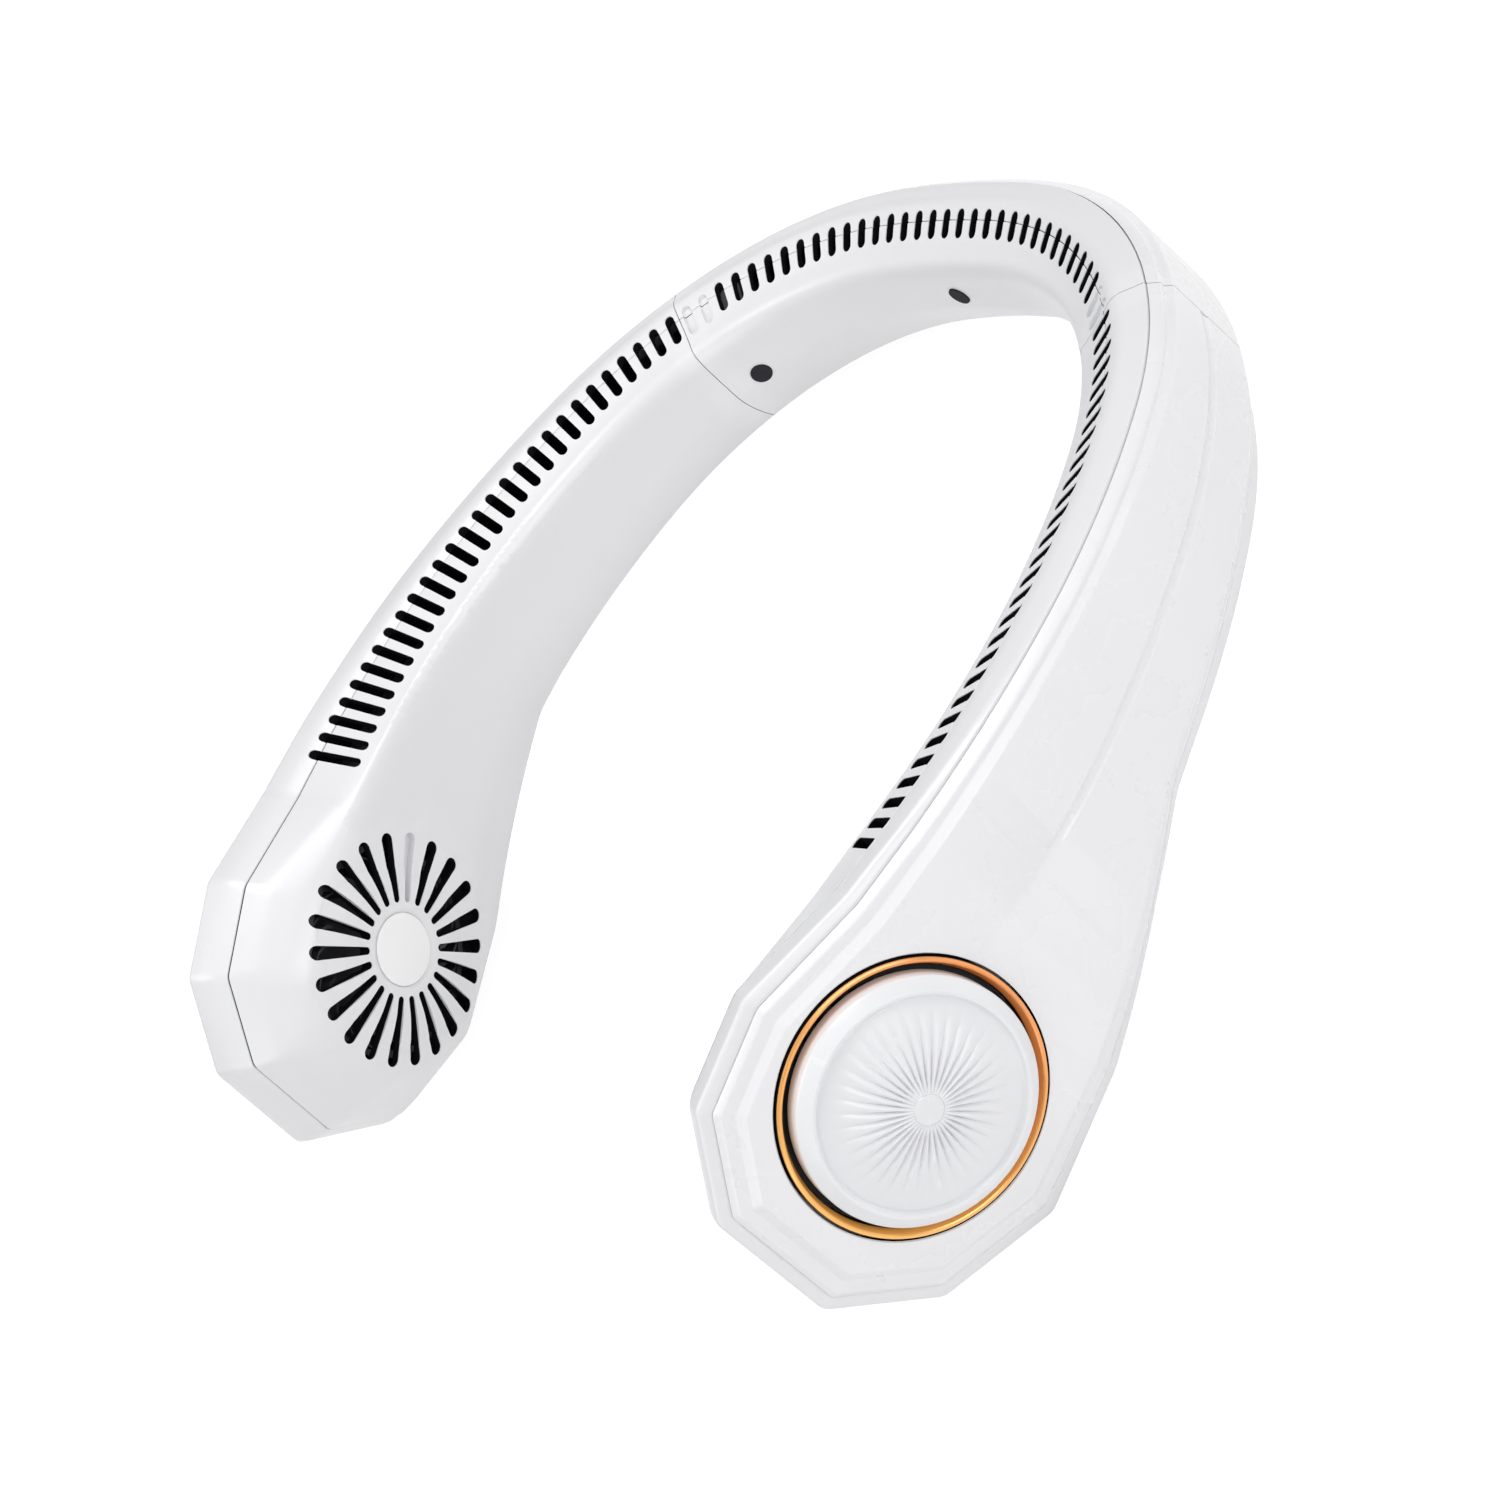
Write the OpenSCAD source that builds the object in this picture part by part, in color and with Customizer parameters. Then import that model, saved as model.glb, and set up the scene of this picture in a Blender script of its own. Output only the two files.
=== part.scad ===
// Bladeless neck fan: a horseshoe housing in three joined sections, with a centrifugal
// fan in each head. The fans draw air in through the gold-ringed intakes and the inner
// grilles, and blow it along the arms and out of the row of vents on the upper edge.
//
// Places in the housing are given as (along, height, out): the distance along the row
// of vents from the middle of the back, the height over the axis of the heads, and the
// distance outwards from the outer face. The whole housing leans by face_lean.

/* [Plan of the horseshoe] */
// Length of the nearly straight middle of the back
back_len = 15; // [10:1:22]
// Bend radius of the middle of the back
back_radius = 190; // [140:5:260]
// Length of each shoulder bend
shoulder_len = 75; // [68:1:82]
// Bend radius of each shoulder
shoulder_radius = 68; // [62:1:76]
// Length of each gently curved arm
arm_len = 88; // [80:1:94]
// Bend radius of each arm
arm_radius = 136; // [120:1:170]
// Distance from the end of each arm's bend to its head's axis
head_past = 12.4; // [11:0.2:16]
// Lean of the housing, so that the outer face looks slightly up
face_lean = 6.3; // [3:0.1:9]
// Distance from the vent row out to the outer face, at the height of the heads' axis
face_out = 12.1; // [11:0.1:13.5]

/* [Outline of the arm] */
// Height of the upper edge over the heads' axis
arm_top = 27.3; // [25:0.1:29]
// Height of the lower edge over the heads' axis, at the middle of the back
arm_bottom = -1.9; // [-3:0.1:-0.5]
// Drop of the lower edge from there to the start of the flare
arm_drop = 7.7; // [6:0.1:9]
// Distance from the head's axis back to where the lower edge starts to drop
flare_start = 58; // [54:0.5:60]
// Sudden drop of the lower edge where the flare starts
flare_drop = 0.3; // [0.1:0.1:1]
// How much further in from the upper edge the trim lies at the middle of the back
trim_setback = 2; // [1:0.1:2.4]
// How much further in from the lower edge the trim lies at the middle of the back
low_setback = 7.2; // [6:0.1:8]
// Longest piece of the housing between two sections
section_step = 7.5; // [5:0.5:9]

/* [Walls] */
// Wall of the inner and outer shells
wall = 1.6; // [1.3:0.1:1.9]
// Wall of the trim covers
cover_wall = 1.2; // [1:0.1:1.4]
// Gap of the seams between pieces
seam_gap = 0.2; // [0.1:0.05:0.3]
// Gap between pieces that are seated in the housing
fit_gap = 0.15; // [0.12:0.01:0.2]
// Gap behind the outer shell's flat web
web_gap = 0.44; // [0.38:0.02:0.5]
// Clearance of pieces that are pressed or screwed in
press_gap = 0.05; // [0.02:0.01:0.06]
// Distance along the vent row from the middle of the back to the section joints
joint_along = 63.75; // [62:0.25:65]

/* [Vents] */
// Distance from one vent to the next
vent_pitch = 3.75; // [3.5:0.05:4]
// Width of a vent
vent_w = 1.9; // [1.5:0.1:2.2]
// Number of vents on each side of the middle
vents_per_side = 45; // [43:1:45]
// Number of blind vents beside each joint, on the back section
blind_vents = 2; // [1:1:3]
// Depth of a blind vent
blind_depth = 0.6; // [0.4:0.1:0.8]
// Distance out from the outer face of the vents' outer end
vent_out = -9.1; // [-9.4:0.1:-8.6]

/* [Inner grille] */
// Radius of the raised round dish
dish_r = 18.8; // [18:0.1:19.2]
// Radius at which the dish levels out
dish_top_r = 12; // [10:0.5:14]
// Height of the dish over the neck side of the head
dish_rise = 0.9; // [0.6:0.1:1.2]
// Number of slots in the grille
grille_slots = 22; // [18:1:24]
// Radius at which the slots start
grille_in_r = 8.1; // [7.8:0.1:9]
// Radius at which the slots end
grille_out_r = 20.2; // [19.4:0.1:20.4]
// Width of a slot at its inner end
slot_in_w = 1.3; // [1:0.1:1.5]
// Width of a slot at its outer end
slot_out_w = 2.5; // [2:0.1:2.8]
// Turn of the slots from the arm's direction, in degrees
grille_turn = -4.4; // [-8:0.2:8]
// Which slot is only a recess
blind_slot = 2; // [0:1:17]
// Radius of the plain disc in the middle
disc_r = 6.3; // [5.8:0.1:6.6]
// Thickness of the plain disc
disc_t = 1; // [0.8:0.1:1.2]
// Depth of the disc's seat
disc_seat = 0.6; // [0.4:0.1:0.8]

/* [Intake ring and cap] */
// Outer radius of the gold ring
ring_r = 21.1; // [20.4:0.1:21.6]
// Inner radius of the gold ring
ring_in_r = 19.3; // [19:0.1:19.6]
// How far the gold ring stands over the outer face
ring_proud = 0.4; // [0.2:0.1:0.6]
// Drop of the ring's sloping lip
ring_slope = 1; // [0.5:0.1:1.5]
// Radius of the fluted cap
cap_r = 18.5; // [18:0.1:18.6]
// How far the cap's rim stands over the outer face
cap_rim = 1.8; // [1.4:0.1:2.2]
// Rise of the cap's bevel over its rim
cap_bevel = 1.7; // [1.2:0.1:2]
// Radius at the top of the cap's bevel
cap_top_r = 16.6; // [16.2:0.1:17]
// Radius of the fluted field
flute_r = 15.5; // [15:0.1:15.8]
// Drop from the cap's top edge to the fluted field
flute_drop = 0.7; // [0.5:0.1:0.9]
// Rise of the fluted field from its edge to its middle
flute_rise = 2.8; // [2:0.1:3.2]
// Number of flutes
flute_count = 38; // [30:2:40]
// Height over which a flute's sides spread
flute_depth = 0.5; // [0.4:0.05:0.6]
// Radius of the cap's plain middle
boss_r = 2.4; // [2:0.1:2.8]
// Share of the way between two flutes that each takes up
flute_w_share = 0.9; // [0.6:0.05:0.95]
// Thickness of the cap's skin
cap_skin = 1.4; // [1.2:0.1:1.6]
// Number of feet under the cap
cap_feet = 4; // [3:1:6]

/* [Fan] */
// Outer radius of the impeller
impeller_r = 18.4; // [17.8:0.1:18.6]
// Inner radius of the ring of blades
blade_in_r = 13; // [12.5:0.1:13.6]
// Number of blades
blade_count = 27; // [21:2:31]
// Thickness of a blade
blade_t = 0.7; // [0.5:0.05:0.8]
// Sweep of a blade, in degrees, from its inner to its outer edge
blade_sweep = 26; // [20:1:30]
// Height of the impeller
impeller_h = 11.6; // [11:0.1:11.8]
// Thickness of the impeller's middle plate and end rings
plate_t = 0.9; // [0.7:0.1:1.1]
// Outer radius of the motor's rotor cup
rotor_r = 9.4; // [9:0.1:9.8]
// Wall of the rotor cup
rotor_wall = 0.9; // [0.7:0.1:1]
// Height of the rotor cup
rotor_h = 5; // [4.6:0.1:5.2]
// Radius of the motor shaft
shaft_r = 0.75; // [0.6:0.05:0.9]
// Radial running clearance of the shaft
shaft_gap = 0.04; // [0.03:0.01:0.06]
// Radius of the stator's teeth
stator_r = 7.9; // [7.5:0.1:8.1]
// Number of stator teeth
stator_teeth = 9; // [6:3:12]
// Width of a stator tooth
tooth_w = 1.2; // [1:0.1:1.4]
// Height of the stator
stator_h = 4; // [3.6:0.1:4.1]
// Wall of the shaft's bearing tube
bearing_wall = 1.4; // [1.2:0.1:1.8]
// Running gap over the motor and half that over the impeller
run_gap = 0.5; // [0.4:0.05:0.7]
// Thickness of the motor mount
mount_t = 1.5; // [1.2:0.1:1.8]
// Outer radius of the motor mount
mount_r = 22; // [21.8:0.1:22.2]
// Inner radius of the motor mount's ring
mount_in_r = 17.3; // [16.8:0.1:17.5]
// Number of arms of the motor mount
mount_arms = 3; // [3:1:5]
// Radius at which the scroll starts
scroll_start_r = 21; // [20:0.1:21.4]
// How far the scroll opens from its start to its end
scroll_growth = 5.2; // [4:0.1:5.4]
// Direction of the scroll's start, in degrees up from the arm
scroll_from = 45; // [40:1:50]
// Turn of the scroll, in degrees
scroll_turn = 310; // [290:5:320]
// Wall of the scroll
scroll_wall = 1.2; // [1:0.1:1.4]

/* [Power and control] */
// Distance from the head's axis back to the battery's middle
battery_short = 78.4; // [74.4:1:82.4]
// Height of the duct floor over the heads' axis
floor_height = 16.6; // [15.5:0.1:17.5]
// Thickness of the duct floor
floor_t = 1.2; // [1:0.1:1.5]
// Distance from the duct floor's end to the head's axis
floor_short = 19; // [18.5:0.5:22]
// Distance from the head's axis back to the control board's middle
board_short = 41.4; // [40.4:0.5:43.4]
// Distance from the housing's lower edge to the control board
board_edge = 5.9; // [5.8:0.1:6.4]
// Distance out from the outer face of the board's neck side
board_out = -15; // [-15.5:0.1:-14.5]
// Wall of the charging port's metal shell
port_wall = 0.35; // [0.3:0.05:0.4]
// Depth of the port's mouth in the housing
port_recess = 0.3; // [0.2:0.1:0.5]
// Radius of the posts that carry the board
post_r = 1.5; // [1.2:0.1:1.8]
// Place of the power button over the board, up along the lower edge
button_x = 0; // [-1:0.5:2]
// Place of the power button over the board, away from the lower edge
button_y = 4.5; // [3:0.5:5]
// Radius of the power button
button_r = 3.4; // [3:0.1:3.8]
// Clearance around the power button
button_gap = 0.2; // [0.15:0.05:0.3]
// Travel of the power button
button_travel = 0.6; // [0.4:0.1:0.8]
// How far the button stands over the neck side
button_proud = 0.8; // [0.6:0.1:1]
// Width and thickness of the button's flange
button_flange = 0.8; // [0.6:0.1:1]
// Width of the switch under the button
switch_w = 5; // [4:0.5:6]
// Height of the switch under the button
switch_h = 2; // [1.6:0.1:2.4]
// Radius of the status light
light_r = 1.1; // [0.8:0.1:1.3]
// Place of the status light over the board, up along the lower edge
light_x = -6; // [-6.5:0.5:-5.5]
// Place of the status light over the board, away from the lower edge
light_y = 1; // [-1:0.5:3]

/* [Section joints] */
// Length of the sleeve that bridges a joint
sleeve_len = 25; // [22:1:28]
// Wall of the sleeve
sleeve_wall = 1.4; // [1.2:0.1:1.6]
// Distance from each joint back to the screw beside it
screw_short = 7.5; // [6.75:0.25:8.25]
// Height of the screws over the heads' axis
screw_height = 12.75; // [11.5:0.25:13.5]
// Height of the middle screw over the heads' axis
middle_screw_height = 15.7; // [15:0.1:17]
// Radius of a screw's head
screw_head_r = 1.6; // [1.4:0.05:1.7]
// Height of a screw's head
screw_head_h = 1.2; // [1:0.1:1.4]
// Radius of a screw's shank
screw_r = 1; // [0.8:0.05:1.1]
// Length of a screw's shank
screw_len = 7; // [6:0.5:8]
// Thickness of a rubber plug
plug_t = 1.2; // [1:0.1:1.5]
// Radius of a rubber plug
plug_r = 1.9; // [1.8:0.05:2.1]
// Radius of the bosses round the screws
boss_out_r = 3.2; // [3:0.1:3.5]

/* [Hidden] */

// Upper corners of the faceted head, towards the tip and up from its axis
head_top_corners = [[-15, 27.1], [5.2, 28.9], [21.4, 23.3], [31.4, 9.2]];
// Lower corners of the faceted head, towards the tip and up from its axis
head_bottom_corners = [[-22, -24.8], [-1.2, -31.4], [18.4, -26.6], [31, -12.7]];
// Depth in from the upper edge of the four trim lines, on the arm
trim_in_arm = [0, 1.8, 2.75, 3.7];
// Distance out from the outer face of the four trim lines, on the arm
trim_out_arm = [-2.5, -0.75, -0.55, 0.3];
// Depth in from the lower edge of the four trim lines, on the arm
trim_in_low = [0.3, 1.6, 2.3, 3.2];
// Distance out from the outer face of the four lower trim lines, on the arm
trim_out_low = [-2.4, -1.3, -0.9, -0.3];
// Depth in from the edge of the four trim lines, on the head
trim_in_head = [1.8, 3.1, 5.1, 6.3];
// Distance out from the outer face of the four trim lines, on the head
trim_out_head = [-2.6, -1.4, -1.0, 0];
// Depth in from the upper edge of the rim's edge, crown, parting, vent end and shoulder
side_in_arm = [-0.3, 0, 1.3, 2.85, 4.0, 13.5];
// Distance out from the outer face of the same lines, at the middle of the back
side_out_back = [-3.5, -7.4, -10.4, -13.7, -18.2, -18.5];
// How much further in these lines lie at the head, where the arm is thicker
side_growth = [0, 0, 0, 7.9, 5.6, 5.6];
// How much deeper these lines lie at the head
side_deepening = [0, 0, 0, 1.4, 1.0, 0];
// Depth in from the lower edge of the matching lower lines
side_in_low = [0, 0, 1.9, 3.35, 7.65, 13.5];
// Distance out from the outer face of the lower lines
side_out_low = [-2.8, -6.4, -10.5, -13.1, -15.9, -18.5];
// How much deeper the lower lines lie at the head
side_deepening_low = [0, 0, 0, -1, 0, 0];
// How much further in the lower lines lie at the head
side_growth_low = [0, 0, 0, 3.1, 4.5, 5.6];
// Depth in from the edge of the same lines on the head
side_in_head = [0, 0.4, 2, 4, 9.2, 14];
// Distance out from the outer face of the same lines on the head
side_out_head = [-3, -7.1, -10.7, -14.6, -21.4, -22.4];
// Length, height and thickness of each battery
battery_size = [40, 13.5, 8];
// Length, height and thickness of the control board
board_size = [16, 18, 1.2];
// Width, thickness and depth of the charging port
port_size = [8.9, 3.2, 7];

// smoothness of round parts, of their seats in the shells, and of the ends of slots
$fn = 96;
seat_fn = 24;
vent_fn = 8;
scroll_steps = 24;

// overrun of cuts past the surfaces they cut
over = 1;

// distances along the vent row of the heads' axes and of what stands by them
head_along = back_len + shoulder_len + arm_len + head_past;
floor_to = head_along - floor_short;
battery_along = head_along - battery_short;
board_along = head_along - board_short;
screw_along = joint_along - screw_short;

// Helpers

function mix(a, b, share) = a + (b - a) * share;
function clamp(x) = max(0, min(1, x));
function ease(x) = let(c = clamp(x)) c * c * (3 - 2 * c);
function reversed(v) = [for (i = [len(v) - 1:-1:0]) v[i]];
function spread(a, b, n) = [for (i = [0:n - 1]) mix(a, b, i / n)];

// one arc of the plan, from the pose [x, y, heading], bending towards the wearer
function arc_step(p, r, d) =
    let(turn = d / r * 180 / PI)
    [p.x + r * (sin(p[2] + turn) - sin(p[2])),
     p.y - r * (cos(p[2]) - cos(p[2] + turn)),
     p[2] + turn];

// the plan of the vent row: its place and heading at a distance from the middle
function rail(s) =
    let(a = arc_step([0, 0, 0], back_radius, min(s, back_len)),
        b = arc_step(a, shoulder_radius, clamp((s - back_len) / shoulder_len) * shoulder_len),
        past = s - back_len - shoulder_len,
        c = arc_step(b, arm_radius, clamp(past / arm_len) * arm_len),
        rest = max(0, past - arm_len))
    [c.x + rest * cos(c[2]), c.y - rest * sin(c[2]), c[2]];

// a place in the housing, from (along, height, out)
function place(s, h, out) =
    let(p = rail(abs(s)),
        u = face_out + out * cos(face_lean) - h * sin(face_lean))
    [(s < 0 ? -1 : 1) * (p.x + u * sin(p[2])),
     p.y + u * cos(p[2]),
     h * cos(face_lean) + out * sin(face_lean)];

// moves children to a place in the housing: x back along the arm, y up, z outwards
module at_place(s, h, out)
    translate(place(s, h, out))
        rotate([90, 0, 180 - rail(s)[2]])
            rotate([-face_lean, 0, 0])
                children();

module at_head(out) at_place(head_along, 0, out) children();

module left() mirror([1, 0, 0]) children();

// Outline of the sections, as (along, height)

// shares of the arm's trim, and of its neck side, that have turned into the head's
function head_share(s) = ease((s - flare_from) / (head_along + head_top_corners[1].x - flare_from));
function neck_share(s) = ease((s - flare_to) / (head_along + head_top_corners[1].x - flare_to));
function growth(s) = pow(min(abs(s), head_along) / head_along, 2);
function setback(s, low) = (low ? low_setback : trim_setback) * (1 - growth(s));

// the arm runs from its joint to the start of the flare, which runs to the head
arm_from = joint_along + seam_gap / 2;
flare_from = head_along - flare_start;
flare_to = head_along + head_bottom_corners[0].x;
arm_alongs = spread(arm_from, flare_from, ceil((flare_from - arm_from) / section_step));
flare_alongs = spread(flare_from, flare_to, floor((flare_to - flare_from) / section_step));

function top_height(s) =
    mix(arm_top, head_top_corners[0].y, clamp((s - flare_from) / (flare_start + head_top_corners[0].x)));
function low_height(s) =
    s < flare_from ? arm_bottom - arm_drop * pow(s / flare_from, 2) :
    mix(arm_bottom - arm_drop - flare_drop, head_bottom_corners[0].y, clamp((s - flare_from) / (flare_to - flare_from)));

function on_head(corners) = [for (c = corners) [head_along + c.x, c.y]];
arm_tops = concat([for (s = concat(arm_alongs, flare_alongs)) [s, top_height(s)]],
                  on_head(head_top_corners));
arm_lows = concat([for (s = concat(arm_alongs, flare_alongs)) [s, low_height(s)]],
                  on_head(head_bottom_corners));

back_to = joint_along - seam_gap / 2;
back_steps = 2 * ceil(joint_along / section_step);
back_alongs = [for (i = [0:back_steps]) mix(-back_to, back_to, i / back_steps)];
function tops_at(alongs) = [for (s = alongs) [s, arm_top]];
function lows_at(alongs) = [for (s = alongs) [s, low_height(abs(s))]];

// direction into the outline, square to one of its sides
function inward(a, b) = let(d = (b - a) / norm(b - a)) [d.y, -d.x];

// corner i of an outline moved in by a depth, square to both of its sides
function inset(line, i, depth) =
    let(n1 = inward(line[i - 1], line[i]),
        n2 = inward(line[i], line[i + 1]))
    line[i] + depth * (n1 + n2) / (1 + n1 * n2);

// the same at the open ends of an outline, and all along one with a level top
function drop_in(line, i, depth) = line[i] + [0, (i < len(line) / 2 ? -1 : 1) * depth];

// Lines that run round the housing, each as [depth in, distance out]

function trim(s, low) =
    let(k_in = low ? trim_in_low : trim_in_arm,
        k_out = low ? trim_out_low : trim_out_arm)
    [for (k = [0:3])
        [mix(k_in[k] + setback(s, low), trim_in_head[k], head_share(s)), mix(k_out[k], trim_out_head[k], head_share(s))]];

function side(s, low) =
    let(g = growth(s),
        k_in = (low ? side_in_low + side_deepening_low * g : side_in_arm + side_deepening * g)
            + [setback(s, low), 0, 0, 0, 0, 0],
        k_out = low ? side_out_low - side_growth_low * g : side_out_back - side_growth * g)
    [for (k = [0:5])
        let(share = k < 3 ? head_share(s) : neck_share(s))
        [mix(k_in[k], side_in_head[k], share), mix(k_out[k], side_out_head[k], share)]];

// which way each line moves, as shares of the wall, to its place on the wall's inner face
side_skin_shares = [[1, 0], [1, 0], [1, 0], [0.95, 0.45], [0.45, 1], [0, 1]];
trim_skin_shares = [[1, 0], [0.75, -0.75], [0.4, -1], [0.4, -1]];

function side_skin(s, low, depth) = side(s, low) + depth * side_skin_shares;
function trim_skin(s, low, depth) = trim(s, low) + depth * trim_skin_shares;

// the flat web of the outer shell, which the cover lies on
function web(s, low, depth) = let(t = trim(s, low)[0]) t + depth * [1, -1];

// the lines of each kind of piece, at a depth under its surface
inner_shell_lines = function(s, low, depth)
    let(l = side_skin(s, low, depth))
    [l[2] - [0, seam_gap / 2], l[3], l[4], l[5]];
outer_shell_lines = function(s, low, depth)
    let(l = side_skin(s, low, depth), w = web(s, low, depth))
    [l[2] + [0, seam_gap / 2], l[1], depth > 0 ? [l[0].x, w.y] : l[0], w];
cover_lines = function(s, low, depth)
    let(l = trim_skin(s, low, depth))
    [l[0] + [fit_gap, fit_gap / 2], l[1], l[2], l[3]];
cavity_lines = function(s, low, depth)
    let(l = side_skin(s, low, depth))
    [[l[0].x, web(s, low, depth).y], l[1], l[2], l[3], l[4], l[5]];

// Lofts

// one section: the top lines down from the upper edge, then the low lines back up
function section(tops, lows, i, lines, depth) =
    let(line = concat(tops, reversed(lows)),
        j = len(line) - 1 - i,
        level = i == 0 || tops[0].y == tops[len(tops) - 1].y)
    concat(
        [for (l = lines(tops[i].x, false, depth))
            let(p = level ? drop_in(line, i, l.x) : inset(line, i, l.x))
            place(p.x, p.y, l.y)],
        [for (l = reversed(lines(lows[i].x, true, depth)))
            let(p = level ? drop_in(line, j, l.x) : inset(line, j, l.x))
            place(p.x, p.y, l.y)]);

function quad(a, b, c, d) = [[a, b, c], [a, c, d]];

// joins equal sections, with both ends closed by strips from side to side; with a
// shell's tip, the last section's outer and inner faces are each closed by their own;
// turned is for sections that run the other way round
module loft(sections, shell_tip = false, turned = false) {
    n = len(sections[0]);
    half = n / 2;
    last = (len(sections) - 1) * n;
    sides = [for (i = [0:len(sections) - 2], j = [0:n - 1])
        let(k = (j + 1) % n, a = i * n)
        each quad(a + j, a + k, a + n + k, a + n + j)];
    start = [for (j = [0:half - 2]) each quad(j, n - 1 - j, n - 2 - j, j + 1)];
    end = [for (j = [0:half - 2])
        each quad(last + j, last + j + 1, last + n - 2 - j, last + n - 1 - j)];
    tip = [for (j = [0:half / 2 - 2]) each concat(
        quad(last + j, last + j + 1, last + half - 2 - j, last + half - 1 - j),
        quad(last + n - 1 - j, last + half + j, last + half + 1 + j, last + n - 2 - j))];
    tip_edge = quad(last, last + half - 1, last + half, last + n - 1);
    faces = concat(start, sides, shell_tip ? concat(tip, tip_edge) : end);
    polyhedron(
        points = [for (s = sections) each s],
        faces = turned ? [for (f = faces) reversed(f)] : faces);
}

// a shell with a wall of its own: the outer face's points, then the inner face's back
module shell(tops, lows, lines, thickness, closed_tip, turned)
    loft([for (i = [0:len(tops) - 1])
        concat(section(tops, lows, i, lines, 0),
               reversed(section(tops, lows, i, lines, thickness)))],
        closed_tip, turned);

module arm(lines, thickness, turned = false)
    shell(arm_tops, arm_lows, lines, thickness, true, turned);
module back(lines, thickness, turned = false)
    shell(tops_at(back_alongs), lows_at(back_alongs),
          lines, thickness, false, turned);

// what fills the hollow of an arm, or the hollow across a joint, at a depth in
module arm_hollow(depth, from)
    loft([for (i = [from:len(arm_tops) - 1])
        reversed(section(arm_tops, arm_lows, i, cavity_lines, depth))]);
module joint_hollow(depth, reach) {
    alongs = [for (i = [-2:2]) joint_along + reach * i / 2];
    loft([for (i = [0:4])
        reversed(section(tops_at(alongs), lows_at(alongs), i, cavity_lines, depth))]);
}

// Posture: both heads and the back stand on one plane

low_end = concat(arm_tops, reversed(arm_lows));
low_corner = len(arm_tops) + len(head_bottom_corners) - 2;
back_feet = [for (l = side(0, true)) place(0, arm_bottom + l.x, l.y)];
head_feet = [for (k = [0:5])
    let(c = inset(low_end, low_corner, side_in_head[k]))
    place(c.x, c.y, side_out_head[k])];
rest_tilt = atan(max([for (h = head_feet) min([for (b = back_feet) (b.z - h.z) / (b.y - h.y)])]));
function tilted(p) = [p.x, p.y * cos(rest_tilt) + p.z * sin(rest_tilt),
                      p.z * cos(rest_tilt) - p.y * sin(rest_tilt)];

// front, back and bottom of the housing once it is tilted
tips = [for (i = [len(arm_tops) - 3:len(arm_tops) - 1])
    each section(arm_tops, arm_lows, i, outer_shell_lines, 0)];
middles = [for (lines = [outer_shell_lines, inner_shell_lines, cover_lines])
    each section(tops_at([0]), lows_at([0]), 0, lines, 0)];
front = min([for (p = tips) tilted(p).y]);
rear = max([for (p = middles) tilted(p).y]);
ground = min([for (p = back_feet) tilted(p).z]);

module posed()
    translate([0, -(front + rear) / 2, -ground])
        rotate([-rest_tilt, 0, 0])
            children();

// Vents in the upper edge

// the two ends of a vent, each as [depth in, distance out], at the housing's surface
function vent_ends(s) =
    let(l = side(s, false),
        crown_share = (vent_out - l[1].y) / (l[2].y - l[1].y))
    [[mix(l[1].x, l[2].x, crown_share), vent_out - vent_w / 2],
     [l[3].x, l[3].y + vent_w / 2]];

// where each end of a vent's cut is, at a depth under the surface
function vent_feet(s, depth) =
    [for (end = vent_ends(s)) place(s, top_height(abs(s)) - end.x - depth, end.y)];

// a slot's outline between two places, with round ends of their own widths
function slot_outline(a, b, a_w, b_w) =
    let(way = atan2(b.y - a.y, b.x - a.x),
        step = 360 / vent_fn)
    concat(
        [for (i = [0:vent_fn / 2]) let(t = way + 90 + i * step) [a.x, a.y] + a_w / 2 * [cos(t), sin(t)]],
        [for (i = [0:vent_fn / 2]) let(t = way - 90 + i * step) [b.x, b.y] + b_w / 2 * [cos(t), sin(t)]]);

module vent(s, depth = vent_cut) {
    feet = vent_feet(s, depth);
    low = min(feet[0].z, feet[1].z);
    translate([0, 0, low])
        linear_extrude(top_height(abs(s)) + over - low)
            polygon(slot_outline(feet[0], feet[1], vent_w, vent_w));
}

// a vent that is only a recess, so that its floor follows the surface
module blind_vent(s)
    hull()
        for (foot = vent_feet(s, blind_depth))
            translate(foot)
                cylinder(h = blind_depth + over, d = vent_w, $fn = vent_fn);

function vent_along(k) = (k - 1 / 2) * vent_pitch;
vents_on_back = floor(joint_along / vent_pitch + 1 / 2);
vent_cut = 2 * wall + blind_depth;

module back_vents()
    for (way = [-1, 1], k = [1:vents_on_back])
        if (k > vents_on_back - blind_vents) blind_vent(way * vent_along(k));
        else vent(way * vent_along(k));

module arm_vents()
    for (k = [vents_on_back + 1:vents_per_side])
        vent(vent_along(k));

// Inner grille, round the head's axis, seen from the neck side

neck_face = side_out_head[5];
dish_face = neck_face - dish_rise;

// raises the neck side into a round dish
module dish()
    at_head(dish_face)
        cylinder(h = dish_rise + wall / 2, r1 = dish_top_r, r2 = dish_r);

module grille_cuts() {
    for (i = [0:grille_slots - 1])
        at_head(dish_face)
            rotate(grille_turn + i * 360 / grille_slots)
                translate([0, 0, -over])
                    linear_extrude(over + dish_rise + (i == blind_slot ? wall / 2 : 3 * wall))
                        polygon(slot_outline(
                            [grille_in_r + slot_in_w / 2, 0], [grille_out_r - slot_out_w / 2, 0],
                            slot_in_w, slot_out_w));
    at_head(dish_face - over)
        cylinder(h = over + disc_seat, r = disc_r + fit_gap, $fn = seat_fn);
}

module grille_disc()
    at_head(dish_face + disc_seat) {
        translate([0, 0, -disc_t]) cylinder(h = disc_t, r1 = disc_r - disc_t / 2, r2 = disc_r);
    }

// Places of the fan along the head's axis, from the intake side inwards

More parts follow.
